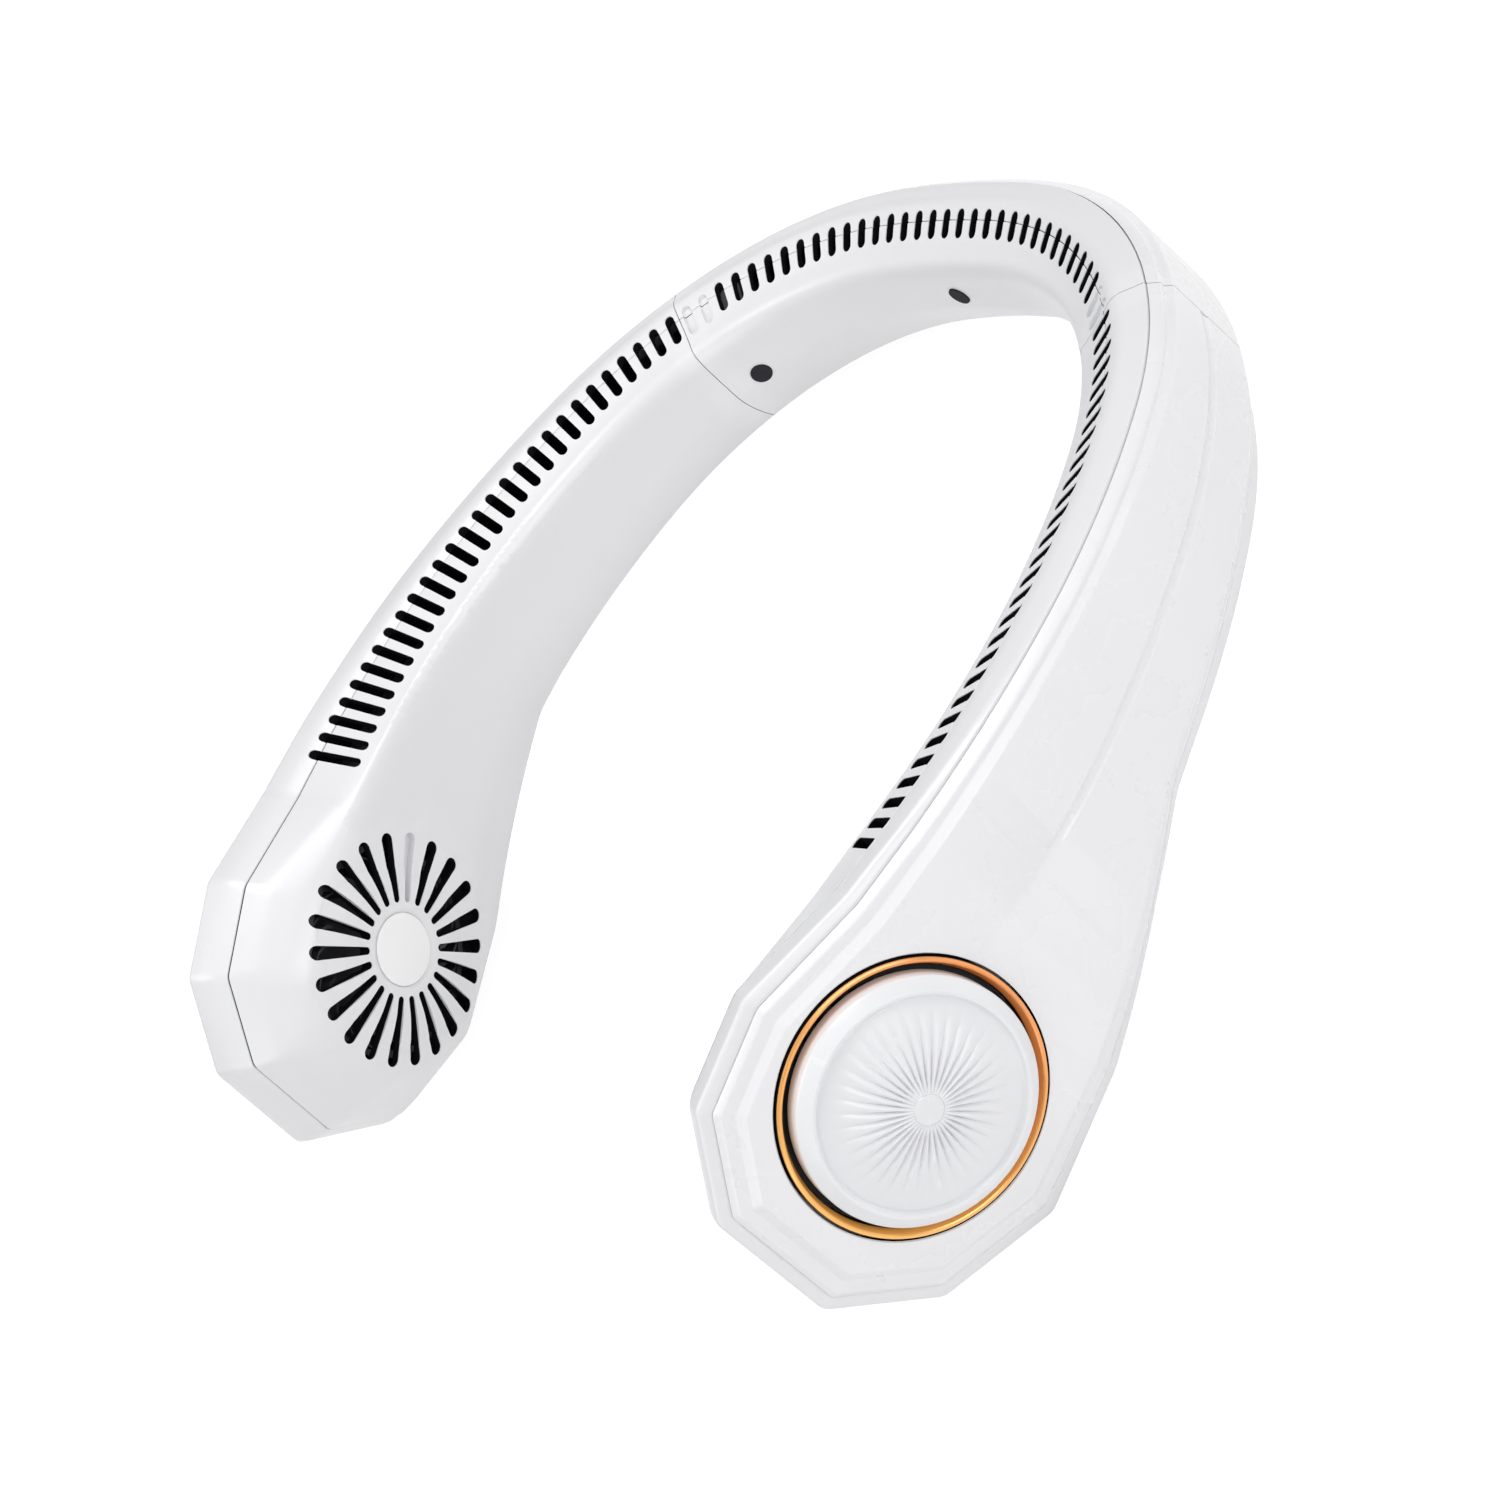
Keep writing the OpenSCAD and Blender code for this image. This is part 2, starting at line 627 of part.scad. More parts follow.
web_out = trim_out_head[0];
mount_out = web_out - wall - web_gap;
mount_back = mount_out - mount_t;
rotor_out = mount_back - run_gap;
rotor_back = rotor_out - rotor_h;
impeller_out = mount_back - 2 * run_gap;
impeller_back = impeller_out - impeller_h;
hub_r = rotor_r + press_gap + plate_t;
tube_r = shaft_r + shaft_gap + bearing_wall;

module intake_ring()
    at_head(0)
        rotate_extrude()
            polygon([
                [ring_in_r, web_out + fit_gap / 2],
                [ring_r, web_out + fit_gap / 2],
                [ring_r, ring_proud / 2],
                [ring_r - ring_proud / 2, ring_proud],
                [ring_r - ring_proud * 2, ring_proud],
                [ring_in_r, ring_proud - ring_slope]]);

// height of the cap's domed field at a radius
cap_edge = cap_rim + cap_bevel;
function dome(r) = cap_edge - flute_drop + flute_rise * (1 - pow(r / flute_r, 2));

module intake_cap() {
    at_head(0) difference() {
        rotate_extrude($fn = flute_count)
            polygon(concat(
                [[0, dome(boss_r)]],
                [for (share = [0:1 / 3:1]) let(r = mix(boss_r, flute_r, share)) [r, dome(r)]],
                [[cap_top_r, cap_edge],
                 [cap_r, cap_rim],
                 [cap_r, web_out / 2],
                 [cap_r - cap_skin, web_out / 2],
                 [cap_r - cap_skin, cap_rim - cap_skin],
                 [flute_r, dome(flute_r) - cap_skin],
                 [0, dome(boss_r) - cap_skin]]));
        for (i = [0:flute_count - 1])
            rotate((i + 1 / 2) * 360 / flute_count)
                flute();
    }
    for (i = [0:cap_feet - 1])
        at_head(mount_out + fit_gap / 2)
            rotate((i + 1 / 2) * 360 / cap_feet)
                translate([cap_r - cap_skin * 6 / 5, -cap_skin, 0])
                    cube([cap_skin, 2 * cap_skin, cap_rim - cap_skin / 2 - mount_out]);
}

// a straight groove from the cap's plain middle to the edge of its field, so that it
// lies deepest under the dome half way out
module flute()
    hull()
        for (r = [boss_r, flute_r])
            translate([r, 0, dome(r)])
                rotate([0, 90, 0])
                    linear_extrude(over / 100)
                        flute_outline(PI * r / flute_count * flute_w_share);

module flute_outline(half_w)
    polygon([[0, 0], [-flute_depth, half_w], [-over, half_w], [-over, -half_w], [-flute_depth, -half_w]]);

// Fan

module motor_mount()
    at_head(mount_back) {
        difference() {
            cylinder(h = mount_t, r = mount_r);
            translate([0, 0, -over]) cylinder(h = mount_t + 2 * over, r = mount_in_r);
        }
        for (i = [0:mount_arms - 1])
            rotate(i * 360 / mount_arms)
                translate([tube_r - bearing_wall / 2, -mount_t / 2, 0])
                    cube([mount_in_r - tube_r + bearing_wall, mount_t, mount_t]);
        difference() {
            translate([0, 0, -stator_h]) cylinder(h = stator_h + mount_t, r = tube_r);
            translate([0, 0, -stator_h - over])
                cylinder(h = stator_h + over + mount_t / 2, r = shaft_r + shaft_gap);
        }
    }

module stator()
    at_head(mount_back - fit_gap / 2 - stator_h + fit_gap)
        linear_extrude(stator_h - fit_gap)
            difference() {
                union() {
                    circle(tube_r + tooth_w, $fn = seat_fn);
                    for (i = [0:stator_teeth - 1])
                        rotate(i * 360 / stator_teeth) {
                            translate([tube_r + press_gap, -tooth_w / 2])
                                square([stator_r - tube_r - press_gap - tooth_w / 2, tooth_w]);
                            translate([stator_r - tooth_w, -tooth_w])
                                square([tooth_w, 2 * tooth_w]);
                        }
                }
                circle(tube_r + press_gap, $fn = seat_fn);
            }

module rotor() {
    at_head(rotor_back) {
        difference() {
            cylinder(h = rotor_h, r = rotor_r);
            translate([0, 0, rotor_wall]) cylinder(h = rotor_h, r = rotor_r - rotor_wall);
        }
        cylinder(h = mount_back - rotor_back, r = shaft_r);
    }
}

// one blade's outline, from the inner to the outer radius, with its sweep
module blade_outline() {
    stops = [for (share = [0:1 / 4:1]) [mix(blade_in_r, impeller_r, share), blade_sweep * share * share]];
    half = blade_t / 2 * 180 / PI;
    polygon([
        for (p = stops) p.x * [cos(p.y - half / p.x), sin(p.y - half / p.x)],
        for (p = reversed(stops)) p.x * [cos(p.y + half / p.x), sin(p.y + half / p.x)]]);
}

module impeller()
    at_head(impeller_back) {
        plate_back = rotor_back - plate_t - impeller_back;
        linear_extrude(impeller_h)
            for (i = [0:blade_count - 1])
                rotate(i * 360 / blade_count)
                    blade_outline();
        for (level = [0, impeller_h - plate_t])
            translate([0, 0, level])
                tube(plate_t, impeller_r - plate_t, impeller_r + fit_gap);
        translate([0, 0, plate_back]) cylinder(h = plate_t, r = blade_in_r + plate_t);
        translate([0, 0, plate_back + plate_t / 2])
            tube(rotor_h, rotor_r + press_gap, hub_r);
    }

module tube(h, r_in, r_out)
    difference() {
        cylinder(h = h, r = r_out);
        translate([0, 0, -over]) cylinder(h = h + 2 * over, r = r_in);
    }

// the spiral wall round the impeller, open at the top towards the arm
module scroll()
    intersection() {
        at_head(neck_face) linear_extrude(mount_back - fit_gap / 2 - neck_face) scroll_outline();
        arm_hollow(wall + fit_gap, len(arm_tops) - len(head_top_corners) - 2);
    }

module scroll_outline() {
    stops = [for (share = [0:1 / scroll_steps:1])
        [scroll_start_r + scroll_growth * share, scroll_from - scroll_turn * share]];
    polygon([
        for (p = stops) p.x * [cos(p.y), sin(p.y)],
        for (p = reversed(stops)) (p.x + scroll_wall) * [cos(p.y), sin(p.y)]]);
}

// Duct floor and batteries in the arms

// the distance out of the neck side's inner face, at a height, and of the web's
function neck_skin(s, h, gap) =
    let(l = side_skin(s, false, wall + gap))
    lookup(top_height(s) - h, [for (k = [2:5]) l[k]]);
function low_skin(s, out, gap) =
    low_height(s) + lookup(-out, [for (p = side_skin(s, true, wall + gap)) [-p.y, p.x]]);

module duct_floor() {
    from = joint_along + sleeve_len / 2 + fit_gap;
    steps = ceil((floor_to - from) / section_step);
    loft([for (i = [0:steps])
        let(s = mix(from, floor_to, i / steps),
            web_side = web(s, false, wall + web_gap).y)
        [place(s, floor_height, web_side),
         place(s, floor_height, neck_skin(s, floor_height, fit_gap)),
         place(s, floor_height - floor_t, neck_skin(s, floor_height - floor_t, fit_gap)),
         place(s, floor_height - floor_t, web_side)]],
         turned = true);
}

module battery() {
    l = battery_size.x;
    r = arm_radius + face_out + web_out - wall;
    sagitta = r - sqrt(r * r - l * l / 4);
    out = trim_out_arm[0] - wall - 3 * fit_gap - sagitta - battery_size[2];
    from = battery_along - l / 2;
    height = max(low_skin(from, out, fit_gap), low_skin(from, out + battery_size[2], fit_gap));
    at_place(battery_along, height, out)
        translate([-l / 2, 0, 0])
            cube(battery_size);
}

// Control board, in the lower part of the right arm beside the head

flare_angle = atan((low_height(flare_from) - low_height(flare_to)) / (flare_to - flare_from));
board_height = low_height(board_along) + (board_edge + board_size.y / 2) / cos(flare_angle);

// moves children to the board: x up along the sloping edge, y away from it, z outwards
module at_board(x, y, out)
    at_place(board_along, board_height, 0)
        rotate(flare_angle)
            translate([x, y, out])
                children();

// distance along the vent row, and face of the neck side, at a place on the board
function board_along_at(x, y) = board_along - x * cos(flare_angle) + y * sin(flare_angle);
function neck_over(x, y) = side(board_along_at(x, y), false)[5].y;

port_edge = -board_size.y / 2 - board_edge;
port_out = board_out + board_size[2] + port_size.y / 2 + fit_gap / 2;
port_depth = port_recess + lookup(-port_out, [for (p = side(board_along, true)) [-p.y, p.x]]);
post_xs = [-1, 1] * (board_size.x / 2 - post_r);
post_y = board_size.y / 2 - post_r;

module board_plate()
    at_board(-board_size.x / 2, -board_size.y / 2, board_out)
        cube(board_size);

module port_outline(grow)
    offset(r = port_size.y / 2 + grow, $fn = seat_fn)
        square([port_size.x - port_size.y, over / 100], center = true);

module port_shell()
    at_board(0, port_edge + port_depth, port_out)
        rotate([-90, 0, 0]) {
            difference() {
                linear_extrude(port_size[2]) port_outline(0);
                translate([0, 0, -over])
                    linear_extrude(port_size[2] + over - port_wall) port_outline(-port_wall);
            }
            translate([-port_size.x / 4, -port_wall, port_wall])
                cube([port_size.x / 2, 2 * port_wall, port_size[2] - 3 / 2 * port_wall]);
        }

module port_cut()
    at_board(0, port_edge - over, port_out)
        rotate([-90, 0, 0])
            linear_extrude(over + port_depth + 3 * wall) port_outline(fit_gap);

module switch_body()
    at_board(button_x, button_y, board_out - switch_h) {
        translate([-switch_w / 2, -switch_w / 2, 0]) cube([switch_w, switch_w, switch_h]);
    }

button_face = neck_over(button_x, button_y) - button_proud;
button_land = neck_over(button_x, button_y) + wall + wall / 4;

module button_cap()
    at_board(button_x, button_y, button_face) {
        flange = button_land + fit_gap / 2 - button_face;
        cylinder(h = button_proud / 2, r1 = button_r - button_proud / 2, r2 = button_r);
        translate([0, 0, button_proud / 2]) cylinder(h = flange, r = button_r);
        translate([0, 0, flange]) cylinder(h = button_flange, r = button_r + button_flange);
        cylinder(h = board_out - switch_h - button_travel - fit_gap - button_face, r = button_r / 2);
    }

module light_lens()
    at_board(light_x, light_y, neck_over(light_x, light_y) - fit_gap)
        cylinder(h = board_out - neck_over(light_x, light_y), r = light_r);

// holes, lands and posts of the neck side for the board's pieces
module board_lands() {
    at_board(button_x, button_y, neck_over(button_x, button_y) + wall / 2)
        cylinder(h = wall * 3 / 4, r = button_r + 2 * button_flange, $fn = seat_fn);
    for (x = post_xs)
        at_board(x, post_y, neck_over(x, post_y) + wall / 2)
            cylinder(h = board_out - fit_gap / 2 - neck_over(x, post_y) - wall / 2, r = post_r, $fn = seat_fn);
}

module board_cuts() {
    at_board(button_x, button_y, neck_over(button_x, button_y) - over)
        cylinder(h = over + 3 * wall, r = button_r + button_gap, $fn = seat_fn);
    at_board(light_x, light_y, neck_over(light_x, light_y) - over)
        cylinder(h = over + 2 * wall, r = light_r + press_gap, $fn = seat_fn);
    port_cut();
}

// Sleeves across the joints, and the screws of the back

module joint_sleeve()
    difference() {
        joint_hollow(wall + 4 / 3 * fit_gap, sleeve_len / 2);
        joint_hollow(wall + 4 / 3 * fit_gap + sleeve_wall, sleeve_len / 2 + over);
        hull()
            for (k = [vents_on_back + 1, vents_on_back + 1 + floor(sleeve_len / 2 / vent_pitch)])
                vent(vent_along(k), vent_cut + sleeve_wall);
        at_screw(screw_along, screw_height) cylinder(h = -neck_back, r = boss_out_r + fit_gap);
    }

// moves children to a screw: z square into the neck side, from its surface
function neck_surface(s, h) = lookup(arm_top - h, side(s, false));
module at_screw(s, h) {
    l = side(s, false);
    tilt = arm_top - h < l[5].x - plug_r / 2 ? atan((l[4].y - l[5].y) / (l[5].x - l[4].x)) : 0;
    at_place(s, h, neck_surface(s, h))
        rotate([tilt, 0, 0])
            children();
}

neck_back = side_out_back[5];
screw_depth = plug_t + screw_head_h + fit_gap;
boss_h = screw_depth + 3 / 2 * wall;

module screw(s, h)
    at_screw(s, h) translate([0, 0, plug_t + fit_gap / 2]) {
        cylinder(h = screw_head_h, r = screw_head_r);
        cylinder(h = screw_head_h + screw_len, r = screw_r);
    }

module plug(s, h)
    at_screw(s, h) translate([0, 0, -plug_t / 4])
        cylinder(h = plug_t * 5 / 4, r = plug_r);

// each screw's boss on the inner shell, its post on the outer shell, and their holes
module back_screws_do(k) {
    places = [[-screw_along, screw_height], [0, middle_screw_height], [screw_along, screw_height]];
    for (p = places)
        if (p[0] < 0) left() at_screw(-p[0], p[1]) screw_form(k);
        else at_screw(p[0], p[1]) screw_form(k);
}

module screw_form(k) {
    if (k == "boss")
        translate([0, 0, wall / 2]) cylinder(h = boss_h - wall / 2, r = boss_out_r, $fn = seat_fn / 2);
    if (k == "boss_hole") {
        translate([0, 0, -over]) cylinder(h = over + screw_depth, r = plug_r + press_gap, $fn = seat_fn);
        cylinder(h = boss_h + over, r = screw_r + fit_gap, $fn = seat_fn);
    }
    if (k == "post")
        translate([0, 0, boss_h + fit_gap / 2])
            cylinder(h = trim_out_low[0] - wall / 2 - neck_back - boss_h, r = boss_out_r - wall / 2, $fn = seat_fn / 2);
    if (k == "post_hole")
        cylinder(h = plug_t + screw_head_h + screw_len + fit_gap, r = screw_r + press_gap, $fn = seat_fn);
}

// Shells with their openings

module arm_inner_shell(with_board)
    difference() {
        union() {
            arm(inner_shell_lines, wall, turned = true);
            dish();
            if (with_board) board_lands();
        }
        arm_vents();
        grille_cuts();
        if (with_board) board_cuts();
    }

module arm_outer_shell(with_board)
    difference() {
        arm(outer_shell_lines, wall);
        arm_vents();
        at_head(web_out - wall - over) cylinder(h = wall + 2 * over, r = ring_in_r);
        if (with_board) port_cut();
    }

module arm_cover()
    difference() {
        arm(cover_lines, cover_wall);
        at_head(web_out) cylinder(h = ring_proud + over - web_out, r = ring_r + fit_gap);
    }

// Nodes

module back_inner_shell()
    color("whitesmoke") posed() difference() {
        union() {
            back(inner_shell_lines, wall, turned = true);
            back_screws_do("boss");
        }
        back_vents();
        back_screws_do("boss_hole");
    }

module back_outer_shell()
    color("gainsboro") posed() difference() {
        union() {
            back(outer_shell_lines, wall);
            back_screws_do("post");
        }
        back_vents();
        back_screws_do("post_hole");
    }

module back_cover() color("white") posed() back(cover_lines, cover_wall);
module right_arm_inner_shell() color("whitesmoke") posed() arm_inner_shell(true);
module left_arm_inner_shell() color("whitesmoke") posed() left() arm_inner_shell(false);
module right_arm_outer_shell() color("gainsboro") posed() arm_outer_shell(true);
module left_arm_outer_shell() color("gainsboro") posed() left() arm_outer_shell(false);
module right_arm_cover() color("white") posed() arm_cover();
module left_arm_cover() color("white") posed() left() arm_cover();
module right_intake_ring() color("gold") posed() intake_ring();
module left_intake_ring() color("gold") posed() left() intake_ring();
module right_intake_cap() color("white") posed() intake_cap();
module left_intake_cap() color("white") posed() left() intake_cap();
module right_motor_mount() color("dimgray") posed() motor_mount();
module left_motor_mount() color("dimgray") posed() left() motor_mount();
module right_stator() color("peru") posed() stator();
module left_stator() color("peru") posed() left() stator();
module right_rotor() color("silver") posed() rotor();
module left_rotor() color("silver") posed() left() rotor();
module right_impeller() color("darkslategray") posed() impeller();
module left_impeller() color("darkslategray") posed() left() impeller();
module right_scroll() color("gray") posed() scroll();
module left_scroll() color("gray") posed() left() scroll();
module right_grille_disc() color("white") posed() grille_disc();
module left_grille_disc() color("white") posed() left() grille_disc();
module right_joint_sleeve() color("gray") posed() joint_sleeve();
module left_joint_sleeve() color("gray") posed() left() joint_sleeve();
module right_screw() color("silver") posed() screw(screw_along, screw_height);
module left_screw() color("silver") posed() left() screw(screw_along, screw_height);
module right_plug() color("lightgray") posed() plug(screw_along, screw_height);
module left_plug() color("lightgray") posed() left() plug(screw_along, screw_height);
module right_duct_floor() color("gray") posed() duct_floor();
module left_duct_floor() color("gray") posed() left() duct_floor();
module right_battery() color("steelblue") posed() battery();
module left_battery() color("steelblue") posed() left() battery();
module middle_screw() color("silver") posed() screw(0, middle_screw_height);
module middle_plug() color("lightgray") posed() plug(0, middle_screw_height);
module control_board() color("seagreen") posed() board_plate();
module charging_port() color("silver") posed() port_shell();
module power_switch() color("black") posed() switch_body();
module power_button() color("white") posed() button_cap();
module status_light() color("ivory") posed() light_lens();

back_inner_shell();
back_outer_shell();
back_cover();
right_arm_inner_shell();
left_arm_inner_shell();
right_arm_outer_shell();
left_arm_outer_shell();
right_arm_cover();
left_arm_cover();
right_intake_ring();
left_intake_ring();
right_intake_cap();
left_intake_cap();
right_motor_mount();
left_motor_mount();
right_stator();
left_stator();
right_rotor();
left_rotor();
right_impeller();
left_impeller();
right_scroll();
left_scroll();
right_grille_disc();
left_grille_disc();
right_joint_sleeve();
left_joint_sleeve();
right_screw();
left_screw();
middle_screw();
right_plug();
left_plug();
middle_plug();
right_duct_floor();
left_duct_floor();
right_battery();
left_battery();
control_board();
charging_port();
power_switch();
power_button();
status_light();
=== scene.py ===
from math import atan, ceil, cos, floor, pi, radians, sin

import bmesh
import bpy
import numpy as np
from mathutils import Matrix, Vector
from mathutils.bvhtree import BVHTree


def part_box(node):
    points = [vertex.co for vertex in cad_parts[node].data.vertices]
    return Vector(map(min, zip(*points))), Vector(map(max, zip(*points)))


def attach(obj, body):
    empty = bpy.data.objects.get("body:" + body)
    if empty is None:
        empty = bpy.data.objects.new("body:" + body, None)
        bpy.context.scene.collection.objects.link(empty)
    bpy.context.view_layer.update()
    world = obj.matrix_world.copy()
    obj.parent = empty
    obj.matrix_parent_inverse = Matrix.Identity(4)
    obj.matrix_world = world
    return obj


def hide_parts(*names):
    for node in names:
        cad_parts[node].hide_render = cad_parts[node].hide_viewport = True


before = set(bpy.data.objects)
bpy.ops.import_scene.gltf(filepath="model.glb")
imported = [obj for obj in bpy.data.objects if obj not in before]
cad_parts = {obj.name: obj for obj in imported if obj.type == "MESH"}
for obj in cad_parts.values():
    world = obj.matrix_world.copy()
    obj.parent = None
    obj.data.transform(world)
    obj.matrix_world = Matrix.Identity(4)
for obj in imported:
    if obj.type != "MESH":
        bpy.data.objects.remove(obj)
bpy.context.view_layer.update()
scene = bpy.context.scene
MM = 0.001

# Values of the housing, as in the part's source, in millimetres.
# Its line, seen from above, runs from the middle of the back along each arm to its head.

BACK_LEN, BACK_RADIUS = 15, 190
SHOULDER_LEN, SHOULDER_RADIUS = 75, 68
ARM_LEN, ARM_RADIUS = 88, 136
JOINT_ALONG, HEAD_ALONG = 63.75, 190.4
LEAN = radians(6.3)
FACE_OUT = 12.1
TILT = radians(11.0937)
SHIFT = (0, 79.40055, 3.68672)

# Outline of the broad side: heights along it, and the corners of the head about its axis

ARM_TOP, ARM_BOTTOM, ARM_DROP = 27.3, -1.9, 7.7
FLARE_START, FLARE_DROP = 58, 0.3
HEAD_TOP = [(-15, 27.1), (5.2, 28.9), (21.4, 23.3), (31.4, 9.2)]
HEAD_LOW = [(-22, -24.8), (-1.2, -31.4), (18.4, -26.6), (31, -12.7)]
FLARE_FROM = HEAD_ALONG - FLARE_START
FLARE_TO = HEAD_ALONG + HEAD_LOW[0][0]
STEP = 7.5
SEAM_GAP = 0.2

# Cross-section: how far in from the outline, and out from the face, each of its lines runs.
# GROWTH and DEEPENING are what is added to the side's lines by the time they reach the head.

WALL, COVER_WALL = 1.6, 1.2
TRIM_SETBACK, LOW_SETBACK = 2, 7.2
TRIM_IN_ARM, TRIM_OUT_ARM = [0, 1.8, 2.75, 3.7], [-2.5, -0.75, -0.55, 0.3]
TRIM_IN_LOW, TRIM_OUT_LOW = [0.3, 1.6, 2.3, 3.2], [-2.4, -1.3, -0.9, -0.3]
TRIM_IN_HEAD, TRIM_OUT_HEAD = [1.8, 3.1, 5.1, 6.3], [-2.6, -1.4, -1.0, 0]
SIDE_IN_ARM, SIDE_OUT_BACK = [-0.3, 0, 1.3, 2.85, 4.0, 13.5], [-3.5, -7.4, -10.4, -13.7, -18.2, -18.5]
SIDE_GROWTH, SIDE_DEEPENING = [0, 0, 0, 7.9, 5.6, 5.6], [0, 0, 0, 1.4, 1.0, 0]
SIDE_IN_LOW, SIDE_OUT_LOW = [0, 0, 1.9, 3.35, 7.65, 13.5], [-2.8, -6.4, -10.5, -13.1, -15.9, -18.5]
SIDE_GROWTH_LOW, SIDE_DEEPENING_LOW = [0, 0, 0, 3.1, 4.5, 5.6], [0, 0, 0, -1, 0, 0]
SIDE_IN_HEAD, SIDE_OUT_HEAD = [0, 0.4, 2, 4, 9.2, 14], [-3, -7.1, -10.7, -14.6, -21.4, -22.4]
NECK_FACE = SIDE_OUT_HEAD[5]

# Vents and grille

VENT_PITCH, VENT_W, VENT_OUT = 3.75, 1.9, -9.1
VENTS, BLIND_VENTS, BLIND_DEPTH = 45, 2, 0.6
VENTS_ON_BACK = floor(JOINT_ALONG / VENT_PITCH + 0.5)
VENT_CUT = 2 * WALL + BLIND_DEPTH
DISH_R, DISH_TOP_R, DISH_RISE = 18.8, 12, 0.9
DISH_FACE = NECK_FACE - DISH_RISE
GRILLE_SLOTS, GRILLE_IN_R, GRILLE_OUT_R = 22, 8.1, 20.2
SLOT_IN_W, SLOT_OUT_W, GRILLE_TURN, BLIND_SLOT = 1.3, 2.5, -4.4, 2
DISC_R, DISC_SEAT = 6.3, 0.6

# Ring, cap and screw plugs

RING_R, RING_IN_R, RING_PROUD = 21.1, 19.3, 0.4
CAP_R, CAP_RIM, CAP_BEVEL, CAP_TOP_R = 18.5, 1.8, 1.7, 16.6
FLUTE_R, FLUTE_DROP, FLUTE_RISE, FLUTES, BOSS_R = 15.5, 0.7, 2.8, 38, 2.4
SCREW_ALONG, SCREW_HEIGHT, MIDDLE_HEIGHT = 56.25, 12.75, 15.7
PLUG_R, PLUG_GAP = 1.9, 0.08

# What only the scene adds: widths of the parting line, shifts of the cover's lines, given as (in, out), the
# light lip of a slot above its painted shade, and how far cutters reach past what they cut

GROOVE_ARM, GROOVE_HEAD = 0.12, 0.36
COVER_LIP, COVER_VALLEY, COVER_SINK = (0.4, 0.15), (0.1, 0.3), (0, 0.02)
LIP = 0.15
OVERRUN, VENT_OVERRUN = 2, 1.0

# Steps of rounded corners, along the outline and across a section, and of round pieces

CORNER_STEPS, SECTION_STEPS, COVER_STEPS = 4, 5, 3
VENT_END_STEPS, SLOT_END_STEPS = 8, 8
HOLE_STEPS, PLUG_STEPS, WEB_STEPS, TURN_STEPS, RING_STEPS = 64, 32, 96, 128, 192

# Tolerances in metres: of points that meet, of slivers left by a cut, and of edges on an
# axis. A triangle whose determinant is under FLAT has no inside, and TINY keeps the division
# by an edge's length safe.

WELD, MERGE, SHRINK = 2e-8, 1e-6, 1e-7
FLAT, TINY = 1e-24, 1e-9


# Places in the housing: (along, height, out)

def arc_step(x, y, a, r, d):
    b = a + d / r
    return x + r * (np.sin(b) - np.sin(a)), y - r * (np.cos(a) - np.cos(b)), b


def rail(s):
    """The housing's line at a length along it: x, y and its turn from the x axis."""
    s = np.asarray(s, float)
    x, y, a = arc_step(0.0, 0.0, 0.0, BACK_RADIUS, np.minimum(s, BACK_LEN))
    x, y, a = arc_step(x, y, a, SHOULDER_RADIUS, np.clip(s - BACK_LEN, 0, SHOULDER_LEN))
    past = s - BACK_LEN - SHOULDER_LEN
    x, y, a = arc_step(x, y, a, ARM_RADIUS, np.clip(past, 0, ARM_LEN))
    rest = np.maximum(0, past - ARM_LEN)
    return x + rest * np.cos(a), y - rest * np.sin(a), a


def posed(p):
    """Places in millimetres, tilted to the rest pose and given in metres."""
    x, y, z = p[..., 0], p[..., 1], p[..., 2]
    return np.stack([x, y * cos(TILT) + z * sin(TILT) + SHIFT[1],
                     z * cos(TILT) - y * sin(TILT) + SHIFT[2]], -1) * MM


def plain(s, h, o):
    """A place before the housing is tilted to its rest pose, in millimetres."""
    x, y, a = rail(np.abs(s))
    u = FACE_OUT + o * cos(LEAN) - h * sin(LEAN)
    return np.stack([np.where(s < 0, -1, 1) * (x + u * np.sin(a)), y + u * np.cos(a),
                     h * cos(LEAN) + o * sin(LEAN)], -1)


def place(p):
    """(..., 3) of along, height, out to metres in the frame."""
    return posed(plain(p[..., 0], p[..., 1], p[..., 2]))


def axes(x, y, z, origin):
    """The matrix with these axes as its columns, at an origin."""
    return Matrix([[x[i], y[i], z[i], origin[i]] for i in range(3)] + [[0, 0, 0, 1]])


def spot(s, h, out):
    """Matrix at a place: x back along the arm, y up, z outwards, in metres."""
    o = place(np.array([s, h, out], float))
    a = float(rail(abs(s))[2])
    x = np.array([-cos(a), sin(a), 0])
    z = np.array([sin(a) * cos(LEAN), cos(a) * cos(LEAN), sin(LEAN)])
    t = np.array([[1, 0, 0], [0, cos(TILT), sin(TILT)], [0, -sin(TILT), cos(TILT)]])
    x, z = t @ x, t @ z
    return axes(x, np.cross(z, x), z, o)


def clamp(x):
    return max(0.0, min(1.0, x))


def ease(x):
    c = clamp(x)
    return c * c * (3 - 2 * c)


def mix(a, b, t):
    return a + (b - a) * t


# How far the section's lines have gone over to the head's: the trim and the edge do so along
# the whole flare, the neck side only from FLARE_TO on. Growth and setback change all the way
# from the back.

def head_share(s):
    return ease((s - FLARE_FROM) / (HEAD_ALONG + HEAD_TOP[1][0] - FLARE_FROM))


def neck_share(s):
    return ease((s - FLARE_TO) / (HEAD_ALONG + HEAD_TOP[1][0] - FLARE_TO))


def growth(s):
    return (min(abs(s), HEAD_ALONG) / HEAD_ALONG) ** 2


def setback(s, low):
    return (LOW_SETBACK if low else TRIM_SETBACK) * (1 - growth(s))


def top_height(s):
    return mix(ARM_TOP, HEAD_TOP[0][1], clamp((s - FLARE_FROM) / (FLARE_START + HEAD_TOP[0][0])))


